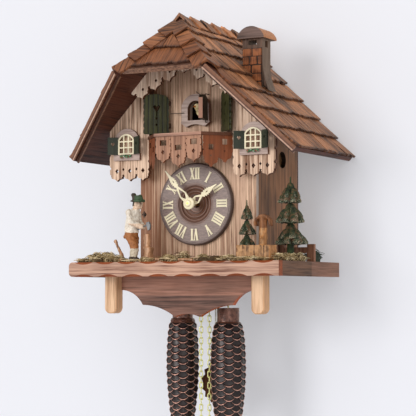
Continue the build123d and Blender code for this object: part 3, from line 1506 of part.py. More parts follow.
def fir(x, out, tiers, trunk_r, top):
    # Carved fir: trunk and a cone for each ring of boughs, all heights above the deck
    body = limb(stand(x, out, 0), stand(x, out, tiers[0][0] + 3), trunk_r, trunk_r * 0.8)
    for low, high, r in tiers:
        body += limb(stand(x, out, low), stand(x, out, high), r, r * 0.16)
    body += limb(stand(x, out, tiers[-1][1] - 1), stand(x, out, top), 1.0, 0.5)
    return body


with BuildPart() as firs:
    small_tiers = ((13.5, 34.5, 13.5), (29.5, 51.5, 11.0), (46.5, 66.5, 7.8))
    large_tiers = ((20.5, 48.5, 21.0), (42.5, 70.5, 19.0), (64.5, 92.5, 15.0))
    add(fir(78.0, 21.0, small_tiers, 3.0, 72.5))
    add(fir(120.0, -10.0, large_tiers, 4.6, 100.5))
save(firs, "firs")

with BuildPart() as fence:
    for x in (97, 136.0):
        with Locations(Location(spot(x, -34, ground + 10.5))):
            Box(9, 5, 21)
    with Locations(Location(spot(116.5, -34, ground + 14))):
        Box(30, 3, 7)
save(fence, "fence")

with BuildPart() as moss_bed:
    clumps = [(-128, 52, 9, 5), (-109, 50, 13, 9), (-95, 44, 9, 8), (37, 54, 10, 5), (52, 50, 12, 6.5),
              (68, 52, 10, 6), (112, 62, 6, 4), (133, 44, 7.5, 7), (131, 20, 8, 7), (134, 2, 6.5, 8),
              (132, -48, 7.5, 8)]
    for x, out, r, tall in clumps:
        add(limb(spot(x, out, ground), spot(x, out, ground + tall), r, r * 0.45))
save(moss_bed, "moss_bed")
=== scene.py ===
import bmesh
import bpy
import math
import numpy as np
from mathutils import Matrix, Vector, noise


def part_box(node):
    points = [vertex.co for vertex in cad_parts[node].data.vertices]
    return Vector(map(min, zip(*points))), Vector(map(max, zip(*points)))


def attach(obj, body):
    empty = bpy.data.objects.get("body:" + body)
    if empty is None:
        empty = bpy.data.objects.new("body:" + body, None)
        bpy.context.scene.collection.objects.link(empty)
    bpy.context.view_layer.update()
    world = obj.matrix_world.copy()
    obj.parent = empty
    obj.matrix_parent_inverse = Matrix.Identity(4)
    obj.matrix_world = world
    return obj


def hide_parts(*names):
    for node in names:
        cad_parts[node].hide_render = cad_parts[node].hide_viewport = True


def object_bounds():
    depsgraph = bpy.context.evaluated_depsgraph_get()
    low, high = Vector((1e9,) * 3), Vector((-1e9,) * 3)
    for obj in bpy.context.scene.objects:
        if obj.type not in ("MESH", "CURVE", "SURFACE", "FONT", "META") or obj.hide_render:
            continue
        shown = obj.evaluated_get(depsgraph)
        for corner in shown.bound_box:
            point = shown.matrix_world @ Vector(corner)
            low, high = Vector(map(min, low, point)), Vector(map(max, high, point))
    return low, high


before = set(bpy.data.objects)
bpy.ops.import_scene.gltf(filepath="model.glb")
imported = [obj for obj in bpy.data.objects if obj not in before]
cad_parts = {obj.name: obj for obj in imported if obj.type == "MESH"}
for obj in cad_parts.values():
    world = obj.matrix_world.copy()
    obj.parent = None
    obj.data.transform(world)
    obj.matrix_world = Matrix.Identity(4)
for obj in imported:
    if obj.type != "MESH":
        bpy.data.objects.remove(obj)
cad_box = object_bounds()
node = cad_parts

# ---- Camera ----
# The clock is looked at from a little below and to its right, from almost two metres away,
# so its upright lines stay upright and the right side wall shows.
camera = bpy.data.objects.new("camera", bpy.data.cameras.new("camera"))
camera.location = (0.93313, -1.82001, -0.29008)
camera.rotation_euler = (math.radians(93.113), 0, math.radians(28.356))
camera.data.lens = 138.52
camera.data.sensor_width = 36
camera.data.clip_end = 30
bpy.context.scene.collection.objects.link(camera)
bpy.context.scene.camera = camera

# ---- Room ----
# A plain pale wall that the clock hangs on, a floor far below, and soft daylight from the
# left with a weaker light from the right.
scene = bpy.context.scene
scene.view_settings.view_transform = "Standard"


def tone(r, g, b):
    # A colour as it is read off a paint card, 0 to 255, in the linear numbers that shaders want
    linear = [c / 255 / 12.92 if c < 11 else ((c / 255 + 0.055) / 1.055) ** 2.4 for c in (r, g, b)]
    return (*linear, 1)


def put_in_scene(name, mesh):
    piece = bpy.data.objects.new(name, mesh)
    scene.collection.objects.link(piece)
    return piece


def flat_sheet(name, corners):
    mesh = bpy.data.meshes.new(name)
    mesh.from_pydata(corners, [], [tuple(range(len(corners)))])
    return put_in_scene(name, mesh)


class Shader:
    # A material's node tree with short ways to add and join nodes
    def __init__(self, name):
        self.material = bpy.data.materials.new(name)
        self.material.use_nodes = True
        self.tree = self.material.node_tree
        self.surface = self.tree.nodes["Principled BSDF"]

    def feed(self, socket, value):
        # Joins another node's output to a socket, or sets a plain number or colour on it
        if isinstance(value, bpy.types.NodeSocket):
            self.tree.links.new(value, socket)
        else:
            socket.default_value = value

    def add(self, kind, inputs=None, **settings):
        new = self.tree.nodes.new(kind)
        for key, value in settings.items():
            setattr(new, key, value)
        for key, value in (inputs or {}).items():
            self.feed(new.inputs[key], value)
        return new

    def here(self):
        # The place on the piece, which moves with it
        return self.add("ShaderNodeTexCoord").outputs["Object"]

    def along(self, vector, axis):
        return self.add("ShaderNodeSeparateXYZ", {"Vector": vector}).outputs[axis]

    def facing(self, axis):
        # How squarely the surface looks along an axis, from 0 to 1
        normal = self.add("ShaderNodeTexCoord").outputs["Normal"]
        return self.work_out("ABSOLUTE", self.along(normal, axis))

    def mark(self, word):
        # A number that a carved piece keeps at each of its points
        return self.add("ShaderNodeAttribute", attribute_name=word).outputs["Fac"]

    def stretch(self, vector, scale):
        return self.add("ShaderNodeMapping", {"Vector": vector, "Scale": scale}).outputs[0]

    def cloud(self, vector, scale, detail=4.0, rough=0.6):
        new = self.add("ShaderNodeTexNoise", {"Vector": vector, "Scale": scale, "Detail": detail,
                                              "Roughness": rough})
        return new.outputs["Fac"]

    def work_out(self, kind, a, b=0.0):
        return self.add("ShaderNodeMath", {0: a, 1: b}, operation=kind).outputs[0]

    def times(self, a, b):
        return self.work_out("MULTIPLY", a, b)

    def plus(self, a, b):
        return self.work_out("ADD", a, b)

    def minus(self, a, b):
        return self.work_out("SUBTRACT", a, b)

    def blend(self, *parts):
        # Several clouds added up, each taken at its own share
        total = self.times(*parts[0])
        for part in parts[1:]:
            total = self.plus(total, self.times(*part))
        return total

    def between(self, value, start, end, most=1.0):
        new = self.add("ShaderNodeMapRange", {"Value": value, "From Min": start, "From Max": end,
                                              "To Max": most})
        return new.outputs[0]

    def ramp(self, source, stops):
        new = self.add("ShaderNodeValToRGB", {"Fac": source})
        for extra in stops[2:]:
            new.color_ramp.elements.new(min(0.999, extra[0]))
        for element, (place, colour) in zip(new.color_ramp.elements, stops):
            element.position = place
            element.color = colour
        return new.outputs["Color"]

    def rise(self, source, start, end):
        # Black up to `start` and white from `end`; `fall` is its opposite
        return self.ramp(source, [(start, (0, 0, 0, 1)), (end, (1, 1, 1, 1))])

    def fall(self, source, start, end):
        return self.ramp(source, [(start, (1, 1, 1, 1)), (end, (0, 0, 0, 1))])

    def mix(self, share, a, b, way="MIX"):
        new = self.add("ShaderNodeMix", {0: share, 6: a, 7: b}, data_type="RGBA", blend_type=way)
        return new.outputs[2]

    def coat(self, colour, rough, height, strength, depth, specular=0.5, metallic=0.0):
        # Colour, roughness, bump and the uniform numbers, all on the surface's own sockets
        bump = self.add("ShaderNodeBump", {"Height": height, "Strength": strength, "Distance": depth})
        for word, value in (("Base Color", colour), ("Roughness", rough), ("Specular IOR Level", specular),
                            ("Metallic", metallic), ("Normal", bump.outputs["Normal"])):
            self.feed(self.surface.inputs[word], value)
        return self.material


wall_paint = Shader("wall_paint")
wall_paint.surface.inputs["Base Color"].default_value = tone(220, 222, 231)
wall_paint.surface.inputs["Roughness"].default_value = 0.9
side_seen = wall_paint.add("ShaderNodeNewGeometry").outputs["Backfacing"]
see_through = wall_paint.add("ShaderNodeBsdfTransparent")
glow = wall_paint.add("ShaderNodeEmission", {"Color": (1, 1, 1, 1), "Strength": 1.0})
to_camera = wall_paint.add("ShaderNodeLightPath").outputs["Is Camera Ray"]
lit = wall_paint.add("ShaderNodeMixShader", {0: wall_paint.times(to_camera, 0.22),
                                             1: wall_paint.surface.outputs[0], 2: glow.outputs[0]})
either = wall_paint.add("ShaderNodeMixShader", {0: side_seen, 1: lit.outputs[0], 2: see_through.outputs[0]})
wall_paint.feed(wall_paint.tree.nodes["Material Output"].inputs["Surface"], either.outputs[0])
wall_y = 0.0015
ground = -1.3
side = 4
wall = flat_sheet("wall", [(-side, wall_y, ground), (side, wall_y, ground), (side, wall_y, 3),
                           (-side, wall_y, 3)])
floor = flat_sheet("floor", [(-side, -5, ground), (side, -5, ground), (side, 5, ground), (-side, 5, ground)])
for sheet in (wall, floor):
    sheet.data.materials.append(wall_paint.material)
for kind in ("diffuse", "glossy", "transmission", "shadow"):
    setattr(wall, "visible_" + kind, False)


def lamp(name, kind, energy, colour, way):
    light = put_in_scene(name, bpy.data.lights.new(name, kind))
    light.data.energy = energy
    light.data.color = colour
    light.rotation_euler = way.to_track_quat("-Z", "Y").to_euler()
    return light


daylight = lamp("daylight", "SUN", 1.2, (1.0, 0.985, 0.965), Vector((0.33, 0.88, -0.17)))
daylight.data.angle = math.radians(26)
fill_from = Vector((2.4, -2.6, -0.1))
fill = lamp("fill", "AREA", 19.0, (1.0, 0.99, 0.97), Vector((0, -0.1, -0.2)) - fill_from)
fill.location = fill_from
fill.data.size = 2.4
sky = bpy.data.worlds.new("room")
sky.use_nodes = True
ambient = sky.node_tree.nodes["Background"]
ambient.inputs["Color"].default_value = (1.0, 0.98, 0.94, 1)
ambient.inputs["Strength"].default_value = 0.82
scene.world = sky

# ---- House walls ----
# Stained softwood boards: a light front with upright grain, darker side walls and a plain
# back. The sawn and planed faces take the stain differently from the edges.


def dress(piece, material, edge=0.0004):
    # One finish all over, and arrises sandpapered to the width of `edge`
    piece.data.materials.clear()
    piece.data.materials.append(material)
    for face in piece.data.polygons:
        face.use_smooth = True
        face.material_index = 0
    if edge:
        bevel = piece.modifiers.new("arris", "BEVEL")
        bevel.width = edge
        bevel.segments = 2
        bevel.limit_method = "ANGLE"
        bevel.angle_limit = math.radians(35)
        bevel.harden_normals = True


def stained_wood(name, dark, light, grain="Z", cut=None, face="Y", streak=0.5, patch=14.0, joined_wood_and_painted_light=None):
    # Wood whose fibres run along one axis. `cut` colours every face that doesn't look along `face`;
    # the last argument is an axis, the place along it where other wood is joined on, and that wood's
    # colour. On the apron it paints light instead: the upper band is made lighter as if lit.
    s = Shader(name)
    spot = s.here()
    long_way = {"X": (0.035, 1, 1), "Y": (1, 0.035, 1), "Z": (1, 1, 0.035)}[grain]
    hair = s.cloud(s.stretch(spot, tuple(700.0 * c for c in long_way)), 1.0, 5.0, 0.65)
    band = s.cloud(s.stretch(spot, tuple(330 * c for c in long_way)), 1.0, 3.0, 0.55)
    cloudy = s.cloud(spot, patch, 3.0, 0.5)
    mixed = s.blend((hair, 0.3), (band, 0.7 * streak), (cloudy, 0.7 - 0.7 * streak))
    colour = s.ramp(mixed, [(0.40, dark), (0.56, light)])
    pores = s.ramp(hair, [(0.30, (0.55, 0.5, 0.48, 1)), (0.42, (1, 1, 1, 1))])
    colour = s.mix(0.8, colour, pores, "MULTIPLY")
    grainy = s.ramp(mixed, [(0.40, (0.5, 0.48, 0.46, 1)), (0.58, (1.15, 1.15, 1.15, 1))])
    if cut:
        colour = s.mix(s.fall(s.facing(face), 0.80, 0.95), colour, s.mix(0.85, cut, grainy, "MULTIPLY"))
    if joined_wood_and_painted_light:
        axis, place, other = joined_wood_and_painted_light
        beyond = s.between(s.along(spot, axis), place, place + 0.0002)
        colour = s.mix(s.times(beyond, 0.75), colour, s.mix(0.9, other, grainy, "MULTIPLY"))
    rough = s.ramp(hair, [(0.3, (0.7, 0.7, 0.7, 1)), (0.7, (0.45, 0.45, 0.45, 1))])
    return s.coat(colour, rough, hair, 0.35, 0.0003, specular=0.35)


def weathered_front():
    # The front's grain, with stain that has run down from under the roof and along the left edge
    s = Shader("front_wood")
    spot = s.here()
    hair = s.cloud(s.stretch(spot, (1100, 1100, 34)), 1.0, 5.0, 0.7)
    band = s.cloud(s.stretch(spot, (390, 390, 6)), 1.0, 4.0, 0.6)
    board = s.cloud(s.stretch(spot, (60, 60, 5)), 1.0, 2.0, 0.5)
    mixed = s.blend((hair, 0.42), (band, 0.58))
    wood = s.ramp(mixed, [(0.38, tone(114, 68, 38)), (0.60, tone(234, 198, 168))])
    pale = s.ramp(board, [(0.42, (0, 0, 0, 1)), (0.62, (0.55, 0.55, 0.55, 1))])
    wood = s.mix(pale, wood, tone(204, 166, 140))
    left = s.between(s.along(spot, "X"), -0.035, -0.078, 0.40)
    high = s.between(s.along(spot, "Z"), -0.085, 0.0, 0.06)
    low = s.between(s.along(spot, "Z"), -0.17, -0.25, 0.10)
    soaked = s.plus(s.plus(left, high), low)
    stain = s.between(s.minus(s.plus(soaked, 0.50), band), 0.06, 0.30)
    colour = s.mix(s.times(stain, 0.82), wood, tone(124, 70, 32))
    pores = s.ramp(hair, [(0.30, (0.42, 0.36, 0.32, 1)), (0.41, (1, 1, 1, 1))])
    colour = s.mix(0.85, colour, pores, "MULTIPLY")
    colour = s.mix(s.rise(s.facing("X"), 0.55, 0.85), colour, tone(188, 168, 156))
    return s.coat(colour, 0.52, hair, 0.4, 0.0004, specular=0.35)


side_wood = stained_wood("side_wood", tone(72, 42, 20), tone(152, 102, 64), "Z", cut=tone(34, 20, 12),
                         face="X", streak=0.6)
dark_wood = stained_wood("dark_wood", tone(60, 36, 28), tone(104, 68, 52), "X")
dress(node["front_wall"], weathered_front(), 0.0012)
dress(node["side_walls"], side_wood, 0.0006)
for name in ("back_rail", "back_door", "base_deck"):
    dress(node[name], dark_wood)

# ---- Base ----
# A thick front board with gouge cuts along both edges, side boards in two lengths, a deck,
# two light posts and a bowed apron below.
base_wood = stained_wood("base_wood", tone(112, 72, 57), tone(192, 152, 130), "X", cut=tone(140, 66, 24),
                         streak=0.75)
dress(node["base_front_board"], base_wood)
board_wood = stained_wood("board_wood", tone(56, 34, 22), tone(112, 76, 54), "Y", streak=0.7,
                          joined_wood_and_painted_light=("Y", -0.0958, tone(138, 96, 78)))
dress(node["base_sides"], board_wood, 0.0008)
post_wood = stained_wood("post_wood", tone(160, 112, 78), tone(228, 190, 154), "Z", cut=tone(206, 160, 120))
dress(node["support_posts"], post_wood, 0.0003)
# The apron's upper band is painted lighter than its lower part: painted light
apron_wood = stained_wood("apron_wood", tone(66, 42, 34), tone(124, 86, 72), "X", cut=tone(176, 82, 28),
                          streak=0.6, joined_wood_and_painted_light=("Z", -0.2906, tone(166, 116, 96)))
dress(node["apron"], apron_wood, 0.0007)

# ---- Roof boards and trims ----
# Dark boards carry the shingles and show as soffits; a trim runs along the raked front
# edges, with the light and shade of moulded grooves painted on it.
dress(node["roof_boards"], stained_wood("soffit_wood", tone(38, 15, 7), tone(86, 40, 22), "Y"))


def painted_trim_lines():
    # Dark board with a pale painted highlight line between dark painted shade lines, measured square to the
    # roof slope
    s = Shader("trim_wood_painted_light")
    spot = s.here()
    slope = math.radians(46.4)
    ridge = 0.048
    across = s.times(s.work_out("ABSOLUTE", s.along(spot, "X")), math.sin(slope))
    depth = s.plus(across, s.times(s.minus(s.along(spot, "Z"), ridge), math.cos(slope)))
    hair = s.cloud(s.stretch(spot, (260, 500, 260)), 1.0, 4.0, 0.6)
    # Bands across the trim: painted shadow, a pale painted highlight, painted shadow again, then brown board
    trim_light_and_shade = s.ramp(s.between(depth, -0.0145, -0.0040), [
        (0.0, tone(84, 54, 40)), (0.28, tone(72, 42, 30)), (0.34, tone(196, 160, 140)),
        (0.46, tone(186, 146, 124)), (0.52, tone(66, 38, 26)), (0.66, tone(122, 80, 58)),
        (1.0, tone(132, 88, 62))])
    under = s.ramp(hair, [(0.35, tone(96, 62, 44)), (0.65, tone(158, 116, 90))])
    grain = s.ramp(hair, [(0.32, (0.62, 0.58, 0.55, 1)), (0.55, (1, 1, 1, 1))])
    colour = s.mix(s.rise(s.facing("Y"), 0.6, 0.8), under, trim_light_and_shade)
    return s.coat(s.mix(0.8, colour, grain, "MULTIPLY"), 0.5, hair, 0.3, 0.0003)


dress(node["roof_trims"], painted_trim_lines())

# ---- Shingles and caps ----
# Split and fluted wooden shingles in overlapping courses, each with an uneven lower edge,
# and roof-shaped caps over the ridge and the hips.


def loose_parts(mesh):
    # Each separate solid of a node as its faces' corners, listed in the order that the faces
    # are met, so that every run carves it alike
    whole = bmesh.new()
    whole.from_mesh(mesh)
    bmesh.ops.remove_doubles(whole, verts=whole.verts, dist=1e-6)
    whole.verts.ensure_lookup_table()
    seen = set()
    groups = []
    for start in whole.verts:
        if start.index in seen:
            continue
        stack = [start]
        seen.add(start.index)
        faces = []
        while stack:
            v = stack.pop()
            for f in v.link_faces:
                if f not in faces:
                    faces.append(f)
                for w in f.verts:
                    if w.index not in seen:
                        seen.add(w.index)
                        stack.append(w)
        groups.append([[tuple(v.co) for v in f.verts] for f in faces])
    whole.free()
    return groups


def solid_from(faces):
    part = bmesh.new()
    for corners in faces:
        part.faces.new([part.verts.new(c) for c in corners])
    bmesh.ops.remove_doubles(part, verts=part.verts, dist=1e-6)
    bmesh.ops.dissolve_limit(part, angle_limit=math.radians(1), verts=part.verts, edges=part.edges)
    return part


def slice_up(part, way, step):
    # Cuts a solid into strips across one direction so that its faces can be carved
    spans = [v.co.dot(way) for v in part.verts]
    low, high = min(spans), max(spans)
    place = low + step
    while place < high - step * 0.3:
        bmesh.ops.bisect_plane(part, geom=part.verts[:] + part.edges[:] + part.faces[:], dist=1e-7,
                               plane_co=way * place, plane_no=way)
        place += step


def split_shingle(faces, seed):
    # One shingle: flutes down its length, an uneven butt and a slight warp
    part = solid_from(faces)
    widest = max(part.faces, key=lambda f: f.calc_area() * (f.normal.z > 0.1))
    up = widest.normal.copy()
    down = (Vector((0, 0, -1)) - up * -up.z).normalized()
    across = up.cross(down)
    flute_wide = 0.0013
    slice_long = 0.005
    butt_worn = 0.018
    splinter_wide = 0.0072
    top_layer = 0.0034
    slice_up(part, across, flute_wide)
    slice_up(part, down, slice_long)
    rim = max(v.co.dot(down) for v in part.verts)
    high = max(v.co.dot(up) for v in part.verts)
    marks = [part.verts.layers.float.new(word) for word in ("across", "along", "butt")]
    for v in part.verts:
        t = v.co.dot(across)
        s = v.co.dot(down)
        from_butt = rim - s
        for mark, value in zip(marks, (t, s, from_butt)):
            v[mark] = value
        flute = noise.noise(Vector((t * 330, s * 7, seed * 7.3)))
        flute += 0.6 * noise.noise(Vector((t * 800, s * 15, seed)))
        warp = noise.noise(Vector((t * 60, s * 30, seed * 3.1)))
        near_butt = max(0.0, 1 - from_butt / butt_worn)
        splinter = abs(noise.noise(Vector((round(t / splinter_wide) * 1.7, seed * 5.7, 0))))
        wave = 0.0052 * splinter + 0.0016 * abs(noise.noise(Vector((t * 300, seed, 3))))
        below = high - v.co.dot(up)
        carve = 1.0 if below < top_layer else 0.3
        v.co += up * ((flute * 0.0006 + warp * 0.0007 - 0.0002) * carve) - down * (wave * near_butt + 0.0003)
        v.co.z = min(v.co.z, cad_box[1][2])
    return part


def gather(name, parts):
    # Joins the carved solids into one mesh and remembers a random number for each
    whole = bpy.data.meshes.new(name)
    joined = bmesh.new()
    kept = [joined.verts.layers.float.new(word) for word in ("across", "along", "butt", "tint")]
    for i, part in enumerate(parts):
        marks = [part.verts.layers.float[word] for word in ("across", "along", "butt")]
        lucky = (i * 0.61803398875) % 1
        copy = {}
        for v in part.verts:
            copy[v] = joined.verts.new(v.co)
            for layer, mark in zip(kept, marks):
                copy[v][layer] = v[mark]
            copy[v][kept[3]] = lucky
        for f in part.faces:
            joined.faces.new([copy[v] for v in f.verts])
        part.free()
    joined.to_mesh(whole)
    joined.free()
    return put_in_scene(name, whole)


def shade_by_angle(piece, degrees=35):
    # Rounded where faces nearly line up, sharp where they meet at more than this angle
    for face in piece.data.polygons:
        face.use_smooth = True
    piece.data.set_sharp_from_angle(angle=math.radians(degrees))


def shingle_stain():
    # Brown stain along the flutes, orange where it is rubbed, and painted shade near black on the butts
    s = Shader("shingle_stain")
    spot = s.here()
    tint = s.mark("tint")
    lengthwise = s.add("ShaderNodeCombineXYZ", {"X": s.times(s.mark("across"), 840.0),
                                                "Y": s.times(s.mark("along"), 16.0),
                                                "Z": s.times(tint, 37.0)}).outputs[0]
    hair = s.cloud(lengthwise, 1.0, 5.0, 0.68)
    cloudy = s.cloud(spot, 30.0, 4.0, 0.6)
    mixed = s.blend((hair, 0.62), (cloudy, 0.32), (s.minus(tint, 0.5), 0.12))
    colour = s.ramp(mixed, [(0.35, tone(46, 23, 12)), (0.58, tone(208, 140, 94))])
    front = s.between(s.along(spot, "Y"), -0.165, -0.195)
    low = s.between(s.along(spot, "Z"), -0.03, -0.13)
    rubbed = s.times(s.blend((front, 0.9), (low, 0.35)), s.plus(0.4, cloudy))
    colour = s.mix(s.times(s.work_out("MINIMUM", rubbed, 1.0), 0.85), colour, tone(104, 52, 20))
    fine = s.ramp(hair, [(0.36, (0.24, 0.19, 0.16, 1)), (0.50, (1, 1, 1, 1))])
    colour = s.mix(0.9, colour, fine, "MULTIPLY")
    # Near black along each butt: painted shade under the edge of the course
    colour = s.mix(s.times(s.fall(s.mark("butt"), 0.0006, 0.0022), 0.75), colour, tone(46, 26, 18))
    return s.coat(colour, 0.55, hair, 0.5, 0.0005, specular=0.4)


roof_stain = shingle_stain()
for name, source, first in (("roof_shingles", "shingles", 0), ("roof_cap_row", "roof_caps", 200)):
    solids = loose_parts(node[source].data)
    row = gather(name, [split_shingle(faces, first + i) for i, faces in enumerate(solids)])
    row.data.materials.append(roof_stain)
    shade_by_angle(row)
    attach(row, "case")
    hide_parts(source)

# ---- Chimney ----
# A carved wooden stack with stone courses on its front, a flared foot on the roof and a
# barrel cap.
stack_wood = stained_wood("stack_wood", tone(50, 34, 26), tone(110, 82, 66), "Z", cut=tone(112, 90, 74))
dress(node["chimney"], stack_wood, 0.0005)
cap_wood = stained_wood("cap_wood", tone(64, 48, 42), tone(112, 88, 80), "X", cut=tone(182, 122, 82),
                        streak=0.6)
node["chimney"].data.materials.append(cap_wood)
stack_top = 0.0201
for face in node["chimney"].data.polygons:
    if face.center.z > stack_top:
        face.material_index = 1


def stone_courses(name, left, right, low, high, front):
    # Shallow carved blocks with rounded edges and dark joints between them
    rows = 5
    joint = 0.0012
    mortar = 0.0012
    sunk = 0.0004
    luck = np.random.default_rng(4)
    blocks = bmesh.new()
    course = (high - low) / rows
    for row in range(rows):
        base = low + course * row
        start = left
        while start < right - 0.003:
            wide = min(luck.uniform(0.0085, 0.0135), right - start)
            if right - start - wide < 0.005:
                wide = right - start
            middle = Vector((start + wide / 2, front + sunk, base + course / 2))
            made = bmesh.ops.create_cube(blocks, size=1.0)["verts"]
            block = Vector((wide - joint, 0.0030 + luck.uniform(0, 0.0010), course - joint))
            for v in made:
                lean = Vector((luck.uniform(-1, 1), 0, luck.uniform(-1, 1))) * 0.0005
                v.co = middle + Vector((v.co.x * block.x, v.co.y * block.y, v.co.z * block.z)) + lean
            start += wide
    bmesh.ops.bevel(blocks, geom=blocks.edges[:], offset=0.0006, segments=2, affect="EDGES")
    for v in bmesh.ops.create_cube(blocks, size=1.0)["verts"]:
        v.co = Vector(((left + right) / 2 + v.co.x * (right - left - 0.0004),
                       front + sunk + v.co.y * mortar,
                       (low + high) / 2 + v.co.z * (high - low)))
        for face in v.link_faces:
            face.material_index = 1
    mesh = bpy.data.meshes.new(name)
    blocks.to_mesh(mesh)
    blocks.free()
    stones = put_in_scene(name, mesh)
    shade_by_angle(stones, 40)
    stone = stained_wood(name, tone(70, 32, 14), tone(152, 90, 50), "Z", streak=0.4, patch=120.0)
    stones.data.materials.append(stone)
    stones.data.materials.append(stained_wood(name + "_joints", tone(22, 13, 8), tone(48, 30, 20), "Z"))
    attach(stones, "case")


stone_courses("chimney_stones", 0.0529, 0.0791, -0.0430, 0.0085, -0.1005)

# ---- Gable dressing and balcony ----
# Fretsawn boards: two overhanging gable boards, a fret under the hip, and the balustrade
# boards with their rail. Their sawn edges are darker and redder than their faces.
gable_wood = stained_wood("gable_wood", tone(118, 78, 52), tone(228, 196, 170), "Z", cut=tone(98, 54, 30),
                          streak=0.9)
dress(node["gable_wings"], gable_wood, 0.0003)
fret_wood = stained_wood("fret_wood", tone(170, 132, 108), tone(248, 222, 198), "Z", cut=tone(98, 54, 30),
                         streak=0.6)
dress(node["gable_fret"], fret_wood, 0.0003)
dress(node["gable_blocks"], dark_wood)
balcony_wood = stained_wood("balcony_wood", tone(84, 46, 28), tone(170, 124, 98), "Z", cut=tone(128, 68, 36),
                            streak=0.7)
dress(node["balcony_boards"], balcony_wood, 0.0003)
rail_wood = stained_wood("rail_wood", tone(92, 60, 46), tone(176, 132, 112), "X", cut=tone(96, 56, 36))
dress(node["balcony_frame"], rail_wood)

# ---- Shutters, windows and the cuckoo's door ----
# Green painted shutters with saw cuts, pale surrounds, bone coloured lattices, and the
# little door that swings open on a wire pin.


def green_paint(name, dark, light, saw_cuts=False, bare=None):
    # Thin paint over upright grain; `bare` is the wood on faces that look to the front or back
    s = Shader(name)
    spot = s.here()
    hair = s.cloud(s.stretch(spot, (900, 900, 24)), 1.0, 4.0, 0.6)
    cloudy = s.cloud(spot, 60.0, 3.0, 0.5)
    colour = s.ramp(s.blend((hair, 0.6), (cloudy, 0.4)), [(0.36, dark), (0.66, light)])
    if saw_cuts:
        spacing = 0.0042
        place = s.work_out("FRACT", s.times(s.along(spot, "X"), 1 / spacing))
        line = s.ramp(place, [(0.16, (1, 1, 1, 1)), (0.30, (0, 0, 0, 1)), (0.86, (0, 0, 0, 1)),
                              (0.98, (1, 1, 1, 1))])
        # The saw cuts are painted near black: painted shade in the grooves
        colour = s.mix(s.times(line, 0.75), colour, tone(16, 18, 8))
        hair = s.minus(hair, s.times(line, 0.8))
    if bare:
        colour = s.mix(s.rise(s.facing("Y"), 0.80, 0.95), colour, bare)
    return s.coat(colour, 0.55, hair, 0.5, 0.0005)


shutter_green = green_paint("shutter_green", tone(34, 34, 12), tone(80, 80, 34), saw_cuts=True)
dress(node["large_shutters"], shutter_green, 0.0003)
small_green = green_paint("small_shutter_green", tone(22, 28, 16), tone(46, 54, 34))
dress(node["window_shutters"], small_green, 0.0003)
door_green = green_paint("door_green", tone(24, 22, 12), tone(58, 48, 30), bare=tone(160, 114, 92))
dress(node["cuckoo_door"], door_green, 0.0003)
surround_wood = stained_wood("surround_wood", tone(140, 116, 108), tone(190, 168, 158), "X",
                             cut=tone(120, 84, 66))
for name in ("door_surround", "window_surrounds"):
    dress(node[name], surround_wood, 0.0004)


def bone_plastic():
    # Moulded plastic the colour of bone, faintly mottled
    s = Shader("bone_plastic")
    spot = s.here()
    speckle = s.cloud(spot, 900.0, 3.0, 0.6)
    patch = s.cloud(spot, 45.0, 3.0, 0.5)
    colour = tone(240, 228, 194)
    darker = tuple(c * 0.72 for c in colour[:3]) + (1,)
    return s.coat(s.ramp(patch, [(0.3, darker), (0.6, colour)]), 0.45, speckle, 0.1, 0.0003)


bone = bone_plastic()
for name in ("window_lattices", "dial_numerals", "minute_hand", "hour_hand"):
    dress(node[name], bone, 0.0002)


def metal(name, colour, rough, metallic=1.0):
    # Bare metal, duller and darker in patches
    s = Shader(name)
    haze = s.cloud(s.here(), 180.0, 5.0, 0.6)
    darker = tuple(c * 0.7 for c in colour[:3]) + (1,)
    dull = s.ramp(haze, [(0.3, (rough + 0.15,) * 3 + (1,)), (0.7, (rough,) * 3 + (1,))])
    return s.coat(s.ramp(haze, [(0.3, darker), (0.65, colour)]), dull, haze, 0.15, 0.0002, metallic=metallic)


dress(node["door_wires"], metal("dark_wire", tone(96, 82, 70), 0.5, 0.6), 0)
bright_wire = metal("bright_wire", tone(190, 188, 182), 0.28)
for name in ("escape_wheel", "anchor", "gong_hammer", "pendulum_rod"):
    dress(node[name], bright_wire, 0)


def posy():
    # Green leaves with white and red dots of paint
    s = Shader("flower_paint")
    spot = s.here()
    cells = s.add("ShaderNodeTexVoronoi", {"Vector": spot, "Scale": 480.0})
    pick = s.add("ShaderNodeSeparateColor", {"Color": cells.outputs["Color"]}).outputs["Red"]
    petal = s.ramp(pick, [(0.62, tone(226, 228, 214)), (0.64, tone(170, 52, 44))])
    leaf = s.ramp(s.cloud(spot, 500.0), [(0.35, tone(28, 66, 40)), (0.65, tone(84, 132, 84))])
    colour = s.mix(s.fall(cells.outputs["Distance"], 0.30, 0.42), leaf, petal)
    return s.coat(colour, 0.5, cells.outputs["Distance"], 0.5, 0.0006)


dress(node["window_flowers"], posy(), 0)


def bird_coat():
    # Cream head, orange bill, and dark back, wings and tail
    s = Shader("bird_paint")
    spot = s.here()
    down = s.cloud(spot, 420.0, 3.0, 0.6)
    cream = s.ramp(down, [(0.35, tone(196, 172, 120)), (0.6, tone(240, 222, 176))])
    body = s.ramp(down, [(0.35, tone(28, 24, 22)), (0.65, tone(74, 62, 54))])
    head = s.between(s.along(spot, "Z"), -0.0735, -0.0725)
    bill = s.between(s.along(spot, "Y"), -0.1236, -0.1242)
    return s.coat(s.mix(bill, s.mix(head, body, cream), tone(206, 118, 46)), 0.5, down, 0.3, 0.0004)


dress(node["cuckoo"], bird_coat(), 0)

# ---- Dial ----
# A turned wooden dial with a raised rim and rings in its recessed middle, carrying moulded
# numerals.


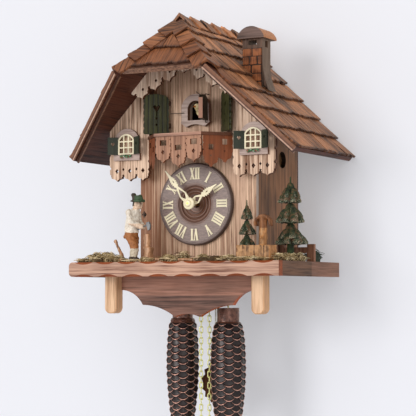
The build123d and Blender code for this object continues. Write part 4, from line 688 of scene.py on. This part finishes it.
def turned_dial():
    # Grey brown stain with lathe rings and pores, darker on the rim and redder in the middle
    s = Shader("dial_stain")
    spot = s.here()
    hub = (0, 0, -0.18)
    at_hub = s.add("ShaderNodeVectorMath", {0: spot, 1: hub}, operation="SUBTRACT").outputs[0]
    flat = s.add("ShaderNodeVectorMath", {0: at_hub, 1: (1, 0, 1)}, operation="MULTIPLY").outputs[0]
    away = s.add("ShaderNodeVectorMath", {0: flat}, operation="LENGTH").outputs["Value"]
    rings = s.add("ShaderNodeCombineXYZ", {"X": s.times(away, 900.0)}).outputs[0]
    turned = s.cloud(rings, 1.0, 3.0, 0.6)
    pores = s.cloud(s.stretch(spot, (160, 900, 900)), 1.0, 4.0, 0.7)
    grey = s.ramp(pores, [(0.30, tone(98, 80, 75)), (0.66, tone(144, 122, 115))])
    brown = s.ramp(turned, [(0.38, tone(60, 34, 24)), (0.62, tone(136, 92, 70))])
    colour = s.mix(s.fall(away, 0.0225, 0.0245), grey, brown)
    colour = s.mix(s.rise(away, 0.0468, 0.0485), colour, tone(48, 32, 28))
    return s.coat(colour, 0.42, s.blend((turned, 0.5), (pores, 0.5)), 0.3, 0.0003)


dress(node["dial"], turned_dial(), 0)

# ---- Movement, gong and bellows ----
# Brass plates and wheels, a coiled steel gong on an iron foot, and two whistle tubes with
# paper bellows and wooden lids.
plate_brass = metal("plate_brass", tone(214, 178, 96), 0.25)
for name in ("movement_frame", "minute_arbor", "hour_pipe", "chain_wheel_right", "chain_wheel_left"):
    dress(node[name], plate_brass, 0)
dress(node["gong"], metal("blued_steel", tone(60, 62, 74), 0.35), 0)
tube_wood = stained_wood("tube_wood", tone(84, 58, 36), tone(132, 96, 62), "Z")
for name in ("bellows", "bellows_lid_right", "bellows_lid_left"):
    dress(node[name], tube_wood)

# ---- Chains ----
# Open brass chain, one straight run on each side of both chain wheels. The loaded lengths
# carry the weights by their hooks, and the free ones end in a ring.
chain_brass = metal("chain_brass", tone(246, 244, 168), 0.3, 0.35)
for name in ("chain_right_loaded", "chain_right_free", "chain_left_loaded", "chain_left_free"):
    dress(node[name], chain_brass, 0)

# ---- Weights ----
# Cast iron fir cones, lacquered almost black, with overlapping scales whose lower rims carry a
# painted copper highlight. A plain brown neck carries the hook.


def fir_cone(name, source, body):
    # A turned blank taken from the source's outline, then scales in staggered columns
    columns = 12
    pitch = 0.0086
    scale_deep = 0.0021
    neck_deep = 0.0004
    low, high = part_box(source)
    axis_x = (low.x + high.x) / 2
    axis_y = (low.y + high.y) / 2
    points = np.array([v.co for v in node[source].data.vertices])
    out = np.hypot(points[:, 0] - axis_x, points[:, 1] - axis_y)
    levels = np.linspace(low.z, high.z, 330)
    # widest radius of the source near each level, filled in between its rings
    rings = sorted({round(z, 5) for z in points[:, 2]})
    reach = [out[np.abs(points[:, 2] - z) < 2e-5].max() for z in rings]
    profile = np.interp(levels, rings, reach)
    around = 216
    scale_half = 0.0086
    neck_from = high.z - 0.019
    verts, faces, rim_highlight = [], [], []
    for z, r in zip(levels, profile):
        deep = scale_deep if z < neck_from - 0.001 else neck_deep
        deep = min(deep, r * 0.35)
        for i in range(around):
            turn = 2 * math.pi * i / around
            top = 0.0
            nearest = math.floor(turn / (2 * math.pi) * columns)
            for column in (nearest, nearest + 1):
                across = (turn - column * 2 * math.pi / columns) * r / scale_half
                if abs(across) >= 1:
                    continue
                shift = (column % 2) * pitch / 2
                bend = 0.0052 * (1 - across * across)
                for row in (0, 1):
                    centre = (math.floor((z - shift) / pitch) + row) * pitch + shift
                    above = (z - centre + bend) / pitch
                    if 0 <= above < 1.25:
                        lip = math.exp(-((above - 0.09) / 0.12) ** 2)
                        bowl = 0.42 * max(0.0, 1 - above / 1.25)
                        crown = 1 - 0.35 * across * across
                        top = max(top, (lip + bowl) * crown * min(1.0, above / 0.05 + 0.2))
            top = min(top, 1.25) / 1.25
            if z >= neck_from:
                top = 0.5
            shown = r - deep * (1 - top) - 0.0001
            verts.append((axis_x + shown * math.cos(turn), axis_y + shown * math.sin(turn), z))
            rim_highlight.append(top if z < neck_from else 0.0)
    rows = len(levels)
    for j in range(rows - 1):
        for i in range(around):
            k = (i + 1) % around
            faces.append((j * around + i, j * around + k, (j + 1) * around + k, (j + 1) * around + i))
    faces.append(tuple(reversed(range(around))))
    faces.append(tuple(range((rows - 1) * around, rows * around)))
    mesh = bpy.data.meshes.new(name)
    mesh.from_pydata(verts, [], faces)
    mesh.attributes.new("rim_highlight", "FLOAT", "POINT").data.foreach_set("value", rim_highlight)
    cone = put_in_scene(name, mesh)
    shade_by_angle(cone, 60)
    cone.data.materials.append(cone_lacquer)
    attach(cone, body)
    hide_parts(source)


def lacquer():
    # Almost black, with a painted copper highlight on the scales' rims and a brown neck above them
    s = Shader("cone_lacquer")
    spot = s.here()
    haze = s.cloud(spot, 240.0, 5.0, 0.6)
    # The copper on each scale's raised rim is a painted highlight
    painted_rim_highlight = s.rise(s.plus(s.mark("rim_highlight"), s.times(s.minus(haze, 0.5), 0.5)), 0.72, 0.98)
    dark = s.ramp(haze, [(0.3, tone(12, 12, 17)), (0.7, tone(46, 32, 30))])
    neck = s.ramp(haze, [(0.35, tone(70, 42, 34)), (0.65, tone(126, 84, 70))])
    upper = s.between(s.along(spot, "Z"), -0.3245, -0.3235)
    colour = s.mix(upper, s.mix(painted_rim_highlight, dark, tone(216, 164, 148)), neck)
    gloss = s.ramp(haze, [(0.3, (0.42, 0.42, 0.42, 1)), (0.7, (0.22, 0.22, 0.22, 1))])
    return s.coat(colour, gloss, haze, 0.3, 0.0004, metallic=0.35)


cone_lacquer = lacquer()
fir_cone("right_fir_cone", "weight_right", "weight_right")
fir_cone("left_fir_cone", "weight_left", "weight_left")
dress(node["pendulum_leaf"], stained_wood("leaf_wood", tone(80, 46, 30), tone(130, 84, 56), "Z"))

# ---- Woodchopper ----
# A carved and painted man in a green hat, a loose cream shirt and brown breeches, with
# separate arms that swing the axe.


def carved(name, source, body, material, size=0.0007, rough=0.0006, grain=160.0, smooth=6,
           seed=1.0, grow=0.0, thin_behind=1.0):
    # Whittled copy of a node: rounded, with small knife facets and folds. What lies behind
    # `thin_behind` keeps its thickness.
    whole = put_in_scene(name, node[source].data.copy())
    remesh = whole.modifiers.new("whittle", "REMESH")
    remesh.mode = "VOXEL"
    remesh.voxel_size = size
    rounded = whole.modifiers.new("rounded", "SMOOTH")
    rounded.factor = 0.5
    rounded.iterations = smooth
    shaped = bpy.data.meshes.new_from_object(whole.evaluated_get(bpy.context.evaluated_depsgraph_get()))
    whole.modifiers.clear()
    whole.data = shaped
    shift = Vector((seed * 3.7, seed * 1.3, seed * 5.1))
    normals = [v.normal.copy() for v in shaped.vertices]
    for v, n in zip(shaped.vertices, normals):
        fold = noise.noise(v.co * grain + shift) + 0.5 * noise.noise(v.co * grain * 2.3 + shift)
        share = min(1.0, max(0.0, (thin_behind - v.co.y) / 0.003))
        v.co += n * ((fold * rough + grow) * share - rough * 0.6)
    for face in shaped.polygons:
        face.use_smooth = True
    shaped.materials.clear()
    shaped.materials.append(material)
    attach(whole, body)
    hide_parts(source)


deck = -0.2505


def painted_by_height(name, bands, head=None):
    # Paint in level bands: each entry is the height it starts from and its colour. `head` is the
    # middle of a head, which gets dark hair behind and two dots for eyes.
    s = Shader(name)
    spot = s.here()
    wobble = s.cloud(spot, 220.0, 3.0, 0.5)
    height = s.plus(s.along(spot, "Z"), s.times(s.minus(wobble, 0.5), 0.0035))
    tall = 0.09
    stops = [((start - deck) / tall, colour) for start, colour in bands]
    paint = s.add("ShaderNodeValToRGB", {"Fac": s.between(height, deck, deck + tall)})
    paint.color_ramp.interpolation = "CONSTANT"
    for place, colour in stops[2:]:
        paint.color_ramp.elements.new(place)
    for element, (place, colour) in zip(paint.color_ramp.elements, stops):
        element.position = max(0.0, place)
        element.color = colour
    dirt = s.cloud(spot, 320.0, 4.0, 0.6)
    dirty = s.ramp(dirt, [(0.33, (0.55, 0.48, 0.42, 1)), (0.55, (1, 1, 1, 1))])
    colour = s.mix(0.7, paint.outputs["Color"], dirty, "MULTIPLY")
    if head:
        from_head = s.add("ShaderNodeVectorMath", {0: spot, 1: head}, operation="SUBTRACT").outputs[0]
        back = s.between(s.along(from_head, "X"), -0.0008, -0.0016)
        level = s.between(s.along(from_head, "Z"), -0.0028, -0.0020)
        colour = s.mix(s.times(back, level), colour, tone(52, 40, 26))
        for eye in ((0.0052, -0.0022, 0.0008), (0.0026, -0.0050, 0.0008)):
            near = s.add("ShaderNodeVectorMath", {0: from_head, 1: eye}, operation="DISTANCE")
            colour = s.mix(s.fall(near.outputs["Value"], 0.0007, 0.0011), colour, tone(66, 44, 32))
    return s.coat(colour, 0.6, dirt, 0.3, 0.0004)


man_paint = painted_by_height("man_paint", (
    (deck, tone(70, 52, 36)), (-0.2445, tone(206, 192, 170)), (-0.2345, tone(160, 100, 52)),
    (-0.2150, tone(232, 222, 208)), (-0.1865, tone(238, 208, 182)), (-0.1785, tone(60, 84, 56))),
    head=(-0.0576, -0.163, -0.1806))
carved("whittled_man", "woodchopper", "case", man_paint, rough=0.0014, smooth=3, grow=0.0017)
arm_paint = painted_by_height("arm_paint", ((deck, tone(240, 212, 186)), (-0.2045, tone(232, 222, 208))))
carved("whittled_arms", "chopper_arms", "chopper_arms", arm_paint, size=0.0005,
       rough=0.0010, smooth=2, grow=0.0014, thin_behind=-0.1495)
dress(node["axe"], metal("axe_grey", tone(120, 120, 122), 0.4, 0.3), 0)

# ---- Woodpile and well ----
# Rough split wood, a chopping block, and a log well whose trough and arched roof are cut
# from one branch.
log_wood = stained_wood("log_wood", tone(112, 76, 54), tone(204, 162, 130), "Z", cut=tone(176, 128, 92),
                        streak=0.8)
carved("split_wood", "woodpile", "case", log_wood, size=0.0009, rough=0.0009, grain=190.0,
       smooth=2, seed=2.0)
well_wood = stained_wood("well_wood", tone(84, 54, 30), tone(186, 140, 96), "Z", cut=tone(186, 130, 80),
                         streak=0.6, patch=150.0, joined_wood_and_painted_light=("Z", -0.2120, tone(112, 60, 24)))
carved("log_well", "well", "case", well_wood, size=0.0009, rough=0.0008, grain=210.0,
       smooth=2, seed=3.0)
dress(node["fence"], stained_wood("fence_wood", tone(74, 40, 24), tone(140, 92, 66), "Z"))

# ---- Fir trees ----
# Carved and shaved firs: drooping boughs in rings around a dowel, painted green with bare
# wood showing at their tips.


def skirt(tree, x, y, level, reach, drop, lobes, start, luck):
    # One ring of boughs cut as a star, hanging down towards pointed, split tips
    points = 8
    around = lobes * points
    radii = (0.10, 0.36, 0.62, 0.84, 1.0)
    long = [luck.uniform(0.82, 1.0) for _ in range(lobes)]
    top_rows, low_rows = [], []
    thick = 0.0012 + 0.055 * reach
    for u in radii:
        top, low = [], []
        for i in range(around):
            turn = start + 2 * math.pi * i / around
            phase = (i % points) / points
            spread = abs(math.cos(math.pi * phase)) ** 0.8
            notch = 1 - 0.50 * (1 - spread) * u
            length = reach * long[((i + points // 2) // points) % lobes] * notch * (0.93 if i % 2 else 1.0)
            r = length * u
            fold = 0.0011 * (spread - 0.5) * u * reach / 0.015
            z = level - drop * u ** 2.6 + 0.30 * drop * math.sin(math.pi * u) + fold
            z += 0.0006 * noise.noise(Vector((turn * 7, u * 5, level * 900)))
            top.append(tree.verts.new((x + r * math.cos(turn), y + r * math.sin(turn), z)))
            low.append(tree.verts.new((x + r * math.cos(turn), y + r * math.sin(turn), z - thick)))
            top[-1][bough_tip] = low[-1][bough_tip] = u
        top_rows.append(top)
        low_rows.append(low)
    for k in range(len(radii) - 1):
        for i in range(around):
            j = (i + 1) % around
            tree.faces.new((top_rows[k][i], top_rows[k + 1][i], top_rows[k + 1][j], top_rows[k][j]))
            tree.faces.new((low_rows[k][j], low_rows[k + 1][j], low_rows[k + 1][i], low_rows[k][i]))
    for i in range(around):
        j = (i + 1) % around
        tree.faces.new((top_rows[-1][i], low_rows[-1][i], low_rows[-1][j], top_rows[-1][j]))
        tree.faces.new((top_rows[0][j], low_rows[0][j], low_rows[0][i], top_rows[0][i]))


def fir_tree(tree, x, y, foot, tiers, trunk, top, seed):
    # Tiers of boughs, each of three rings, on a dowel that tapers to the tip
    luck = np.random.default_rng(seed)
    sides = 14
    for low, high, reach in tiers:
        tall = high - low
        rings = ((0.50, 0.98, 0.44), (0.74, 0.80, 0.40), (0.98, 0.44, 0.42))
        for k, (up, share, drop) in enumerate(rings):
            start = luck.uniform(0, 1)
            skirt(tree, x, y, low + tall * up, reach * share * 1.06, tall * drop, 7 - k, start, luck)
    rows = []
    for level, r in ((foot, trunk), (foot + (top - foot) * 0.5, trunk * 0.7), (top, 0.0006)):
        rows.append([tree.verts.new((x + r * math.cos(a), y + r * math.sin(a), level))
                     for a in (2 * math.pi * k / sides for k in range(sides))])
    for near, far in zip(rows, rows[1:]):
        for i in range(sides):
            j = (i + 1) % sides
            tree.faces.new((near[i], near[j], far[j], far[i]))
    tree.faces.new(list(reversed(rows[0])))
    tree.faces.new(rows[-1])


def fir_paint():
    # Dark green, bare wood on the boughs' tips, and a little pale frost that is also a painted highlight on
    # them
    s = Shader("fir_paint")
    spot = s.here()
    blotch = s.cloud(spot, 190.0, 4.0, 0.65)
    fine = s.cloud(spot, 900.0, 4.0, 0.7)
    mixed = s.blend((blotch, 0.75), (fine, 0.25))
    tip = s.mark("tip")
    green = s.ramp(mixed, [(0.38, tone(9, 15, 8)), (0.60, tone(56, 76, 36))])
    colour = s.mix(s.times(s.rise(mixed, 0.50, 0.55), tip), green, tone(106, 70, 50))
    # Pale frost on the tips, which is also a painted highlight along their edges
    frost_and_highlight = s.rise(s.blend((fine, 0.6), (tip, 0.4)), 0.70, 0.76)
    return s.coat(s.mix(s.times(frost_and_highlight, 0.62), colour, tone(186, 182, 158)), 0.75, fine, 0.5, 0.0006)


grove = bmesh.new()
bough_tip = grove.verts.layers.float.new("tip")
small_tiers = ((deck + 0.0135, deck + 0.0295, 0.0130), (deck + 0.0325, deck + 0.0475, 0.0110),
               (deck + 0.0505, deck + 0.0650, 0.0080))
fir_tree(grove, 0.078, -0.139, deck, small_tiers, 0.003, deck + 0.0724, 5)
large_tiers = ((deck + 0.0210, deck + 0.0430, 0.0205), (deck + 0.0465, deck + 0.0670, 0.0190),
               (deck + 0.0700, deck + 0.0915, 0.0155))
fir_tree(grove, 0.120, -0.108, deck, large_tiers, 0.0046, deck + 0.1004, 8)
bmesh.ops.recalc_face_normals(grove, faces=grove.faces)
fir_mesh = bpy.data.meshes.new("carved_firs")
grove.to_mesh(fir_mesh)
grove.free()
carved_firs = put_in_scene("carved_firs", fir_mesh)
shade_by_angle(carved_firs, 50)
carved_firs.data.materials.append(fir_paint())
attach(carved_firs, "case")
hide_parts("firs")

# ---- Moss ----
# Dried moss glued along the front of the deck: low cushions with a tangle of curled
# strands, olive and straw coloured.


def tangle(mesh, middle, spread, tall, count, luck):
    # Thin three-sided strands that rise, bend over and cross each other
    for _ in range(count):
        angle = luck.uniform(0, 2 * math.pi)
        away = math.sqrt(luck.uniform(0, 1))
        foot = Vector((middle[0] + spread[0] * away * math.cos(angle),
                       middle[1] + spread[1] * away * math.sin(angle), deck))
        lean = Vector((luck.uniform(-1, 1), luck.uniform(-0.4, 0.4), 0)) * luck.uniform(0.1, 0.7)
        shade = luck.uniform(0, 1)
        height = tall * (1 - 0.5 * away * away) * luck.uniform(0.45, 1.0)
        curl = luck.uniform(-0.004, 0.004)
        thick = luck.uniform(0.00022, 0.00050)
        rows = []
        for j in range(5):
            t = j / 4
            bend = Vector((curl * math.sin(4 * t), curl * math.cos(3 * t) - curl,
                           height * math.sin(t * 2.1) / 0.9))
            centre = foot + lean * (0.0075 * t) + bend
            ring = []
            for a in (0, 2.1, 4.2):
                out = Vector((thick * math.cos(a), thick * math.sin(a), thick * math.sin(2 * a)))
                ring.append(mesh.verts.new(centre + out))
                ring[-1][strand_shade] = shade
            rows.append(ring)
        for near, far in zip(rows, rows[1:]):
            for i in range(3):
                j = (i + 1) % 3
                mesh.faces.new((near[i], near[j], far[j], far[i]))


moss_luck = np.random.default_rng(11)
moss_mesh = bmesh.new()
strand_shade = moss_mesh.verts.layers.float.new("shade")
# each tuft's middle, its half widths, its height and its number of strands
tufts = ((-0.130, -0.168, 0.009, 0.006, 0.0035, 70), (-0.112, -0.168, 0.011, 0.008, 0.008, 150),
         (-0.096, -0.166, 0.010, 0.008, 0.0085, 140), (-0.080, -0.170, 0.009, 0.006, 0.0055, 80),
         (-0.060, -0.176, 0.008, 0.002, 0.003, 30), (-0.040, -0.176, 0.008, 0.003, 0.004, 40),
         (-0.012, -0.168, 0.010, 0.006, 0.006, 80), (0.004, -0.160, 0.007, 0.006, 0.008, 50),
         (0.030, -0.158, 0.008, 0.008, 0.006, 60), (0.062, -0.168, 0.009, 0.006, 0.004, 60),
         (0.074, -0.172, 0.008, 0.005, 0.005, 70), (0.104, -0.1778, 0.022, 0.002, 0.0035, 110),
         (0.133, -0.160, 0.007, 0.008, 0.006, 90), (0.131, -0.138, 0.008, 0.012, 0.006, 110),
         (0.134, -0.115, 0.006, 0.012, 0.007, 100), (0.132, -0.070, 0.0075, 0.010, 0.010, 130))
fuller = 1.5
for x, y, wide, deep, tall, count in tufts:
    tangle(moss_mesh, (x, y), (wide, deep), tall * fuller, int(count * fuller), moss_luck)
bmesh.ops.recalc_face_normals(moss_mesh, faces=moss_mesh.faces)
moss_data = bpy.data.meshes.new("moss_strands")
moss_mesh.to_mesh(moss_data)
moss_mesh.free()
strands = put_in_scene("moss_strands", moss_data)


def moss_stain():
    # Straw and olive, each strand its own shade, greyer green at the back
    s = Shader("moss_stain")
    spot = s.here()
    patch = s.cloud(spot, 120.0, 4.0, 0.6)
    varied = s.blend((patch, 0.5), (s.mark("shade"), 0.5))
    straw = s.ramp(varied, [(0.26, tone(70, 50, 26)), (0.46, tone(166, 140, 94)),
                            (0.70, tone(234, 214, 172))])
    rear = s.between(s.along(spot, "Y"), -0.12, -0.09)
    return s.coat(s.mix(rear, straw, tone(74, 84, 72)), 0.9, patch, 0.3, 0.0003)


moss_paint = moss_stain()
strands.data.materials.append(moss_paint)
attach(strands, "case")
carved("moss_cushions", "moss_bed", "case", moss_paint, size=0.0008, rough=0.0012, grain=420.0,
       smooth=1, seed=6.0)
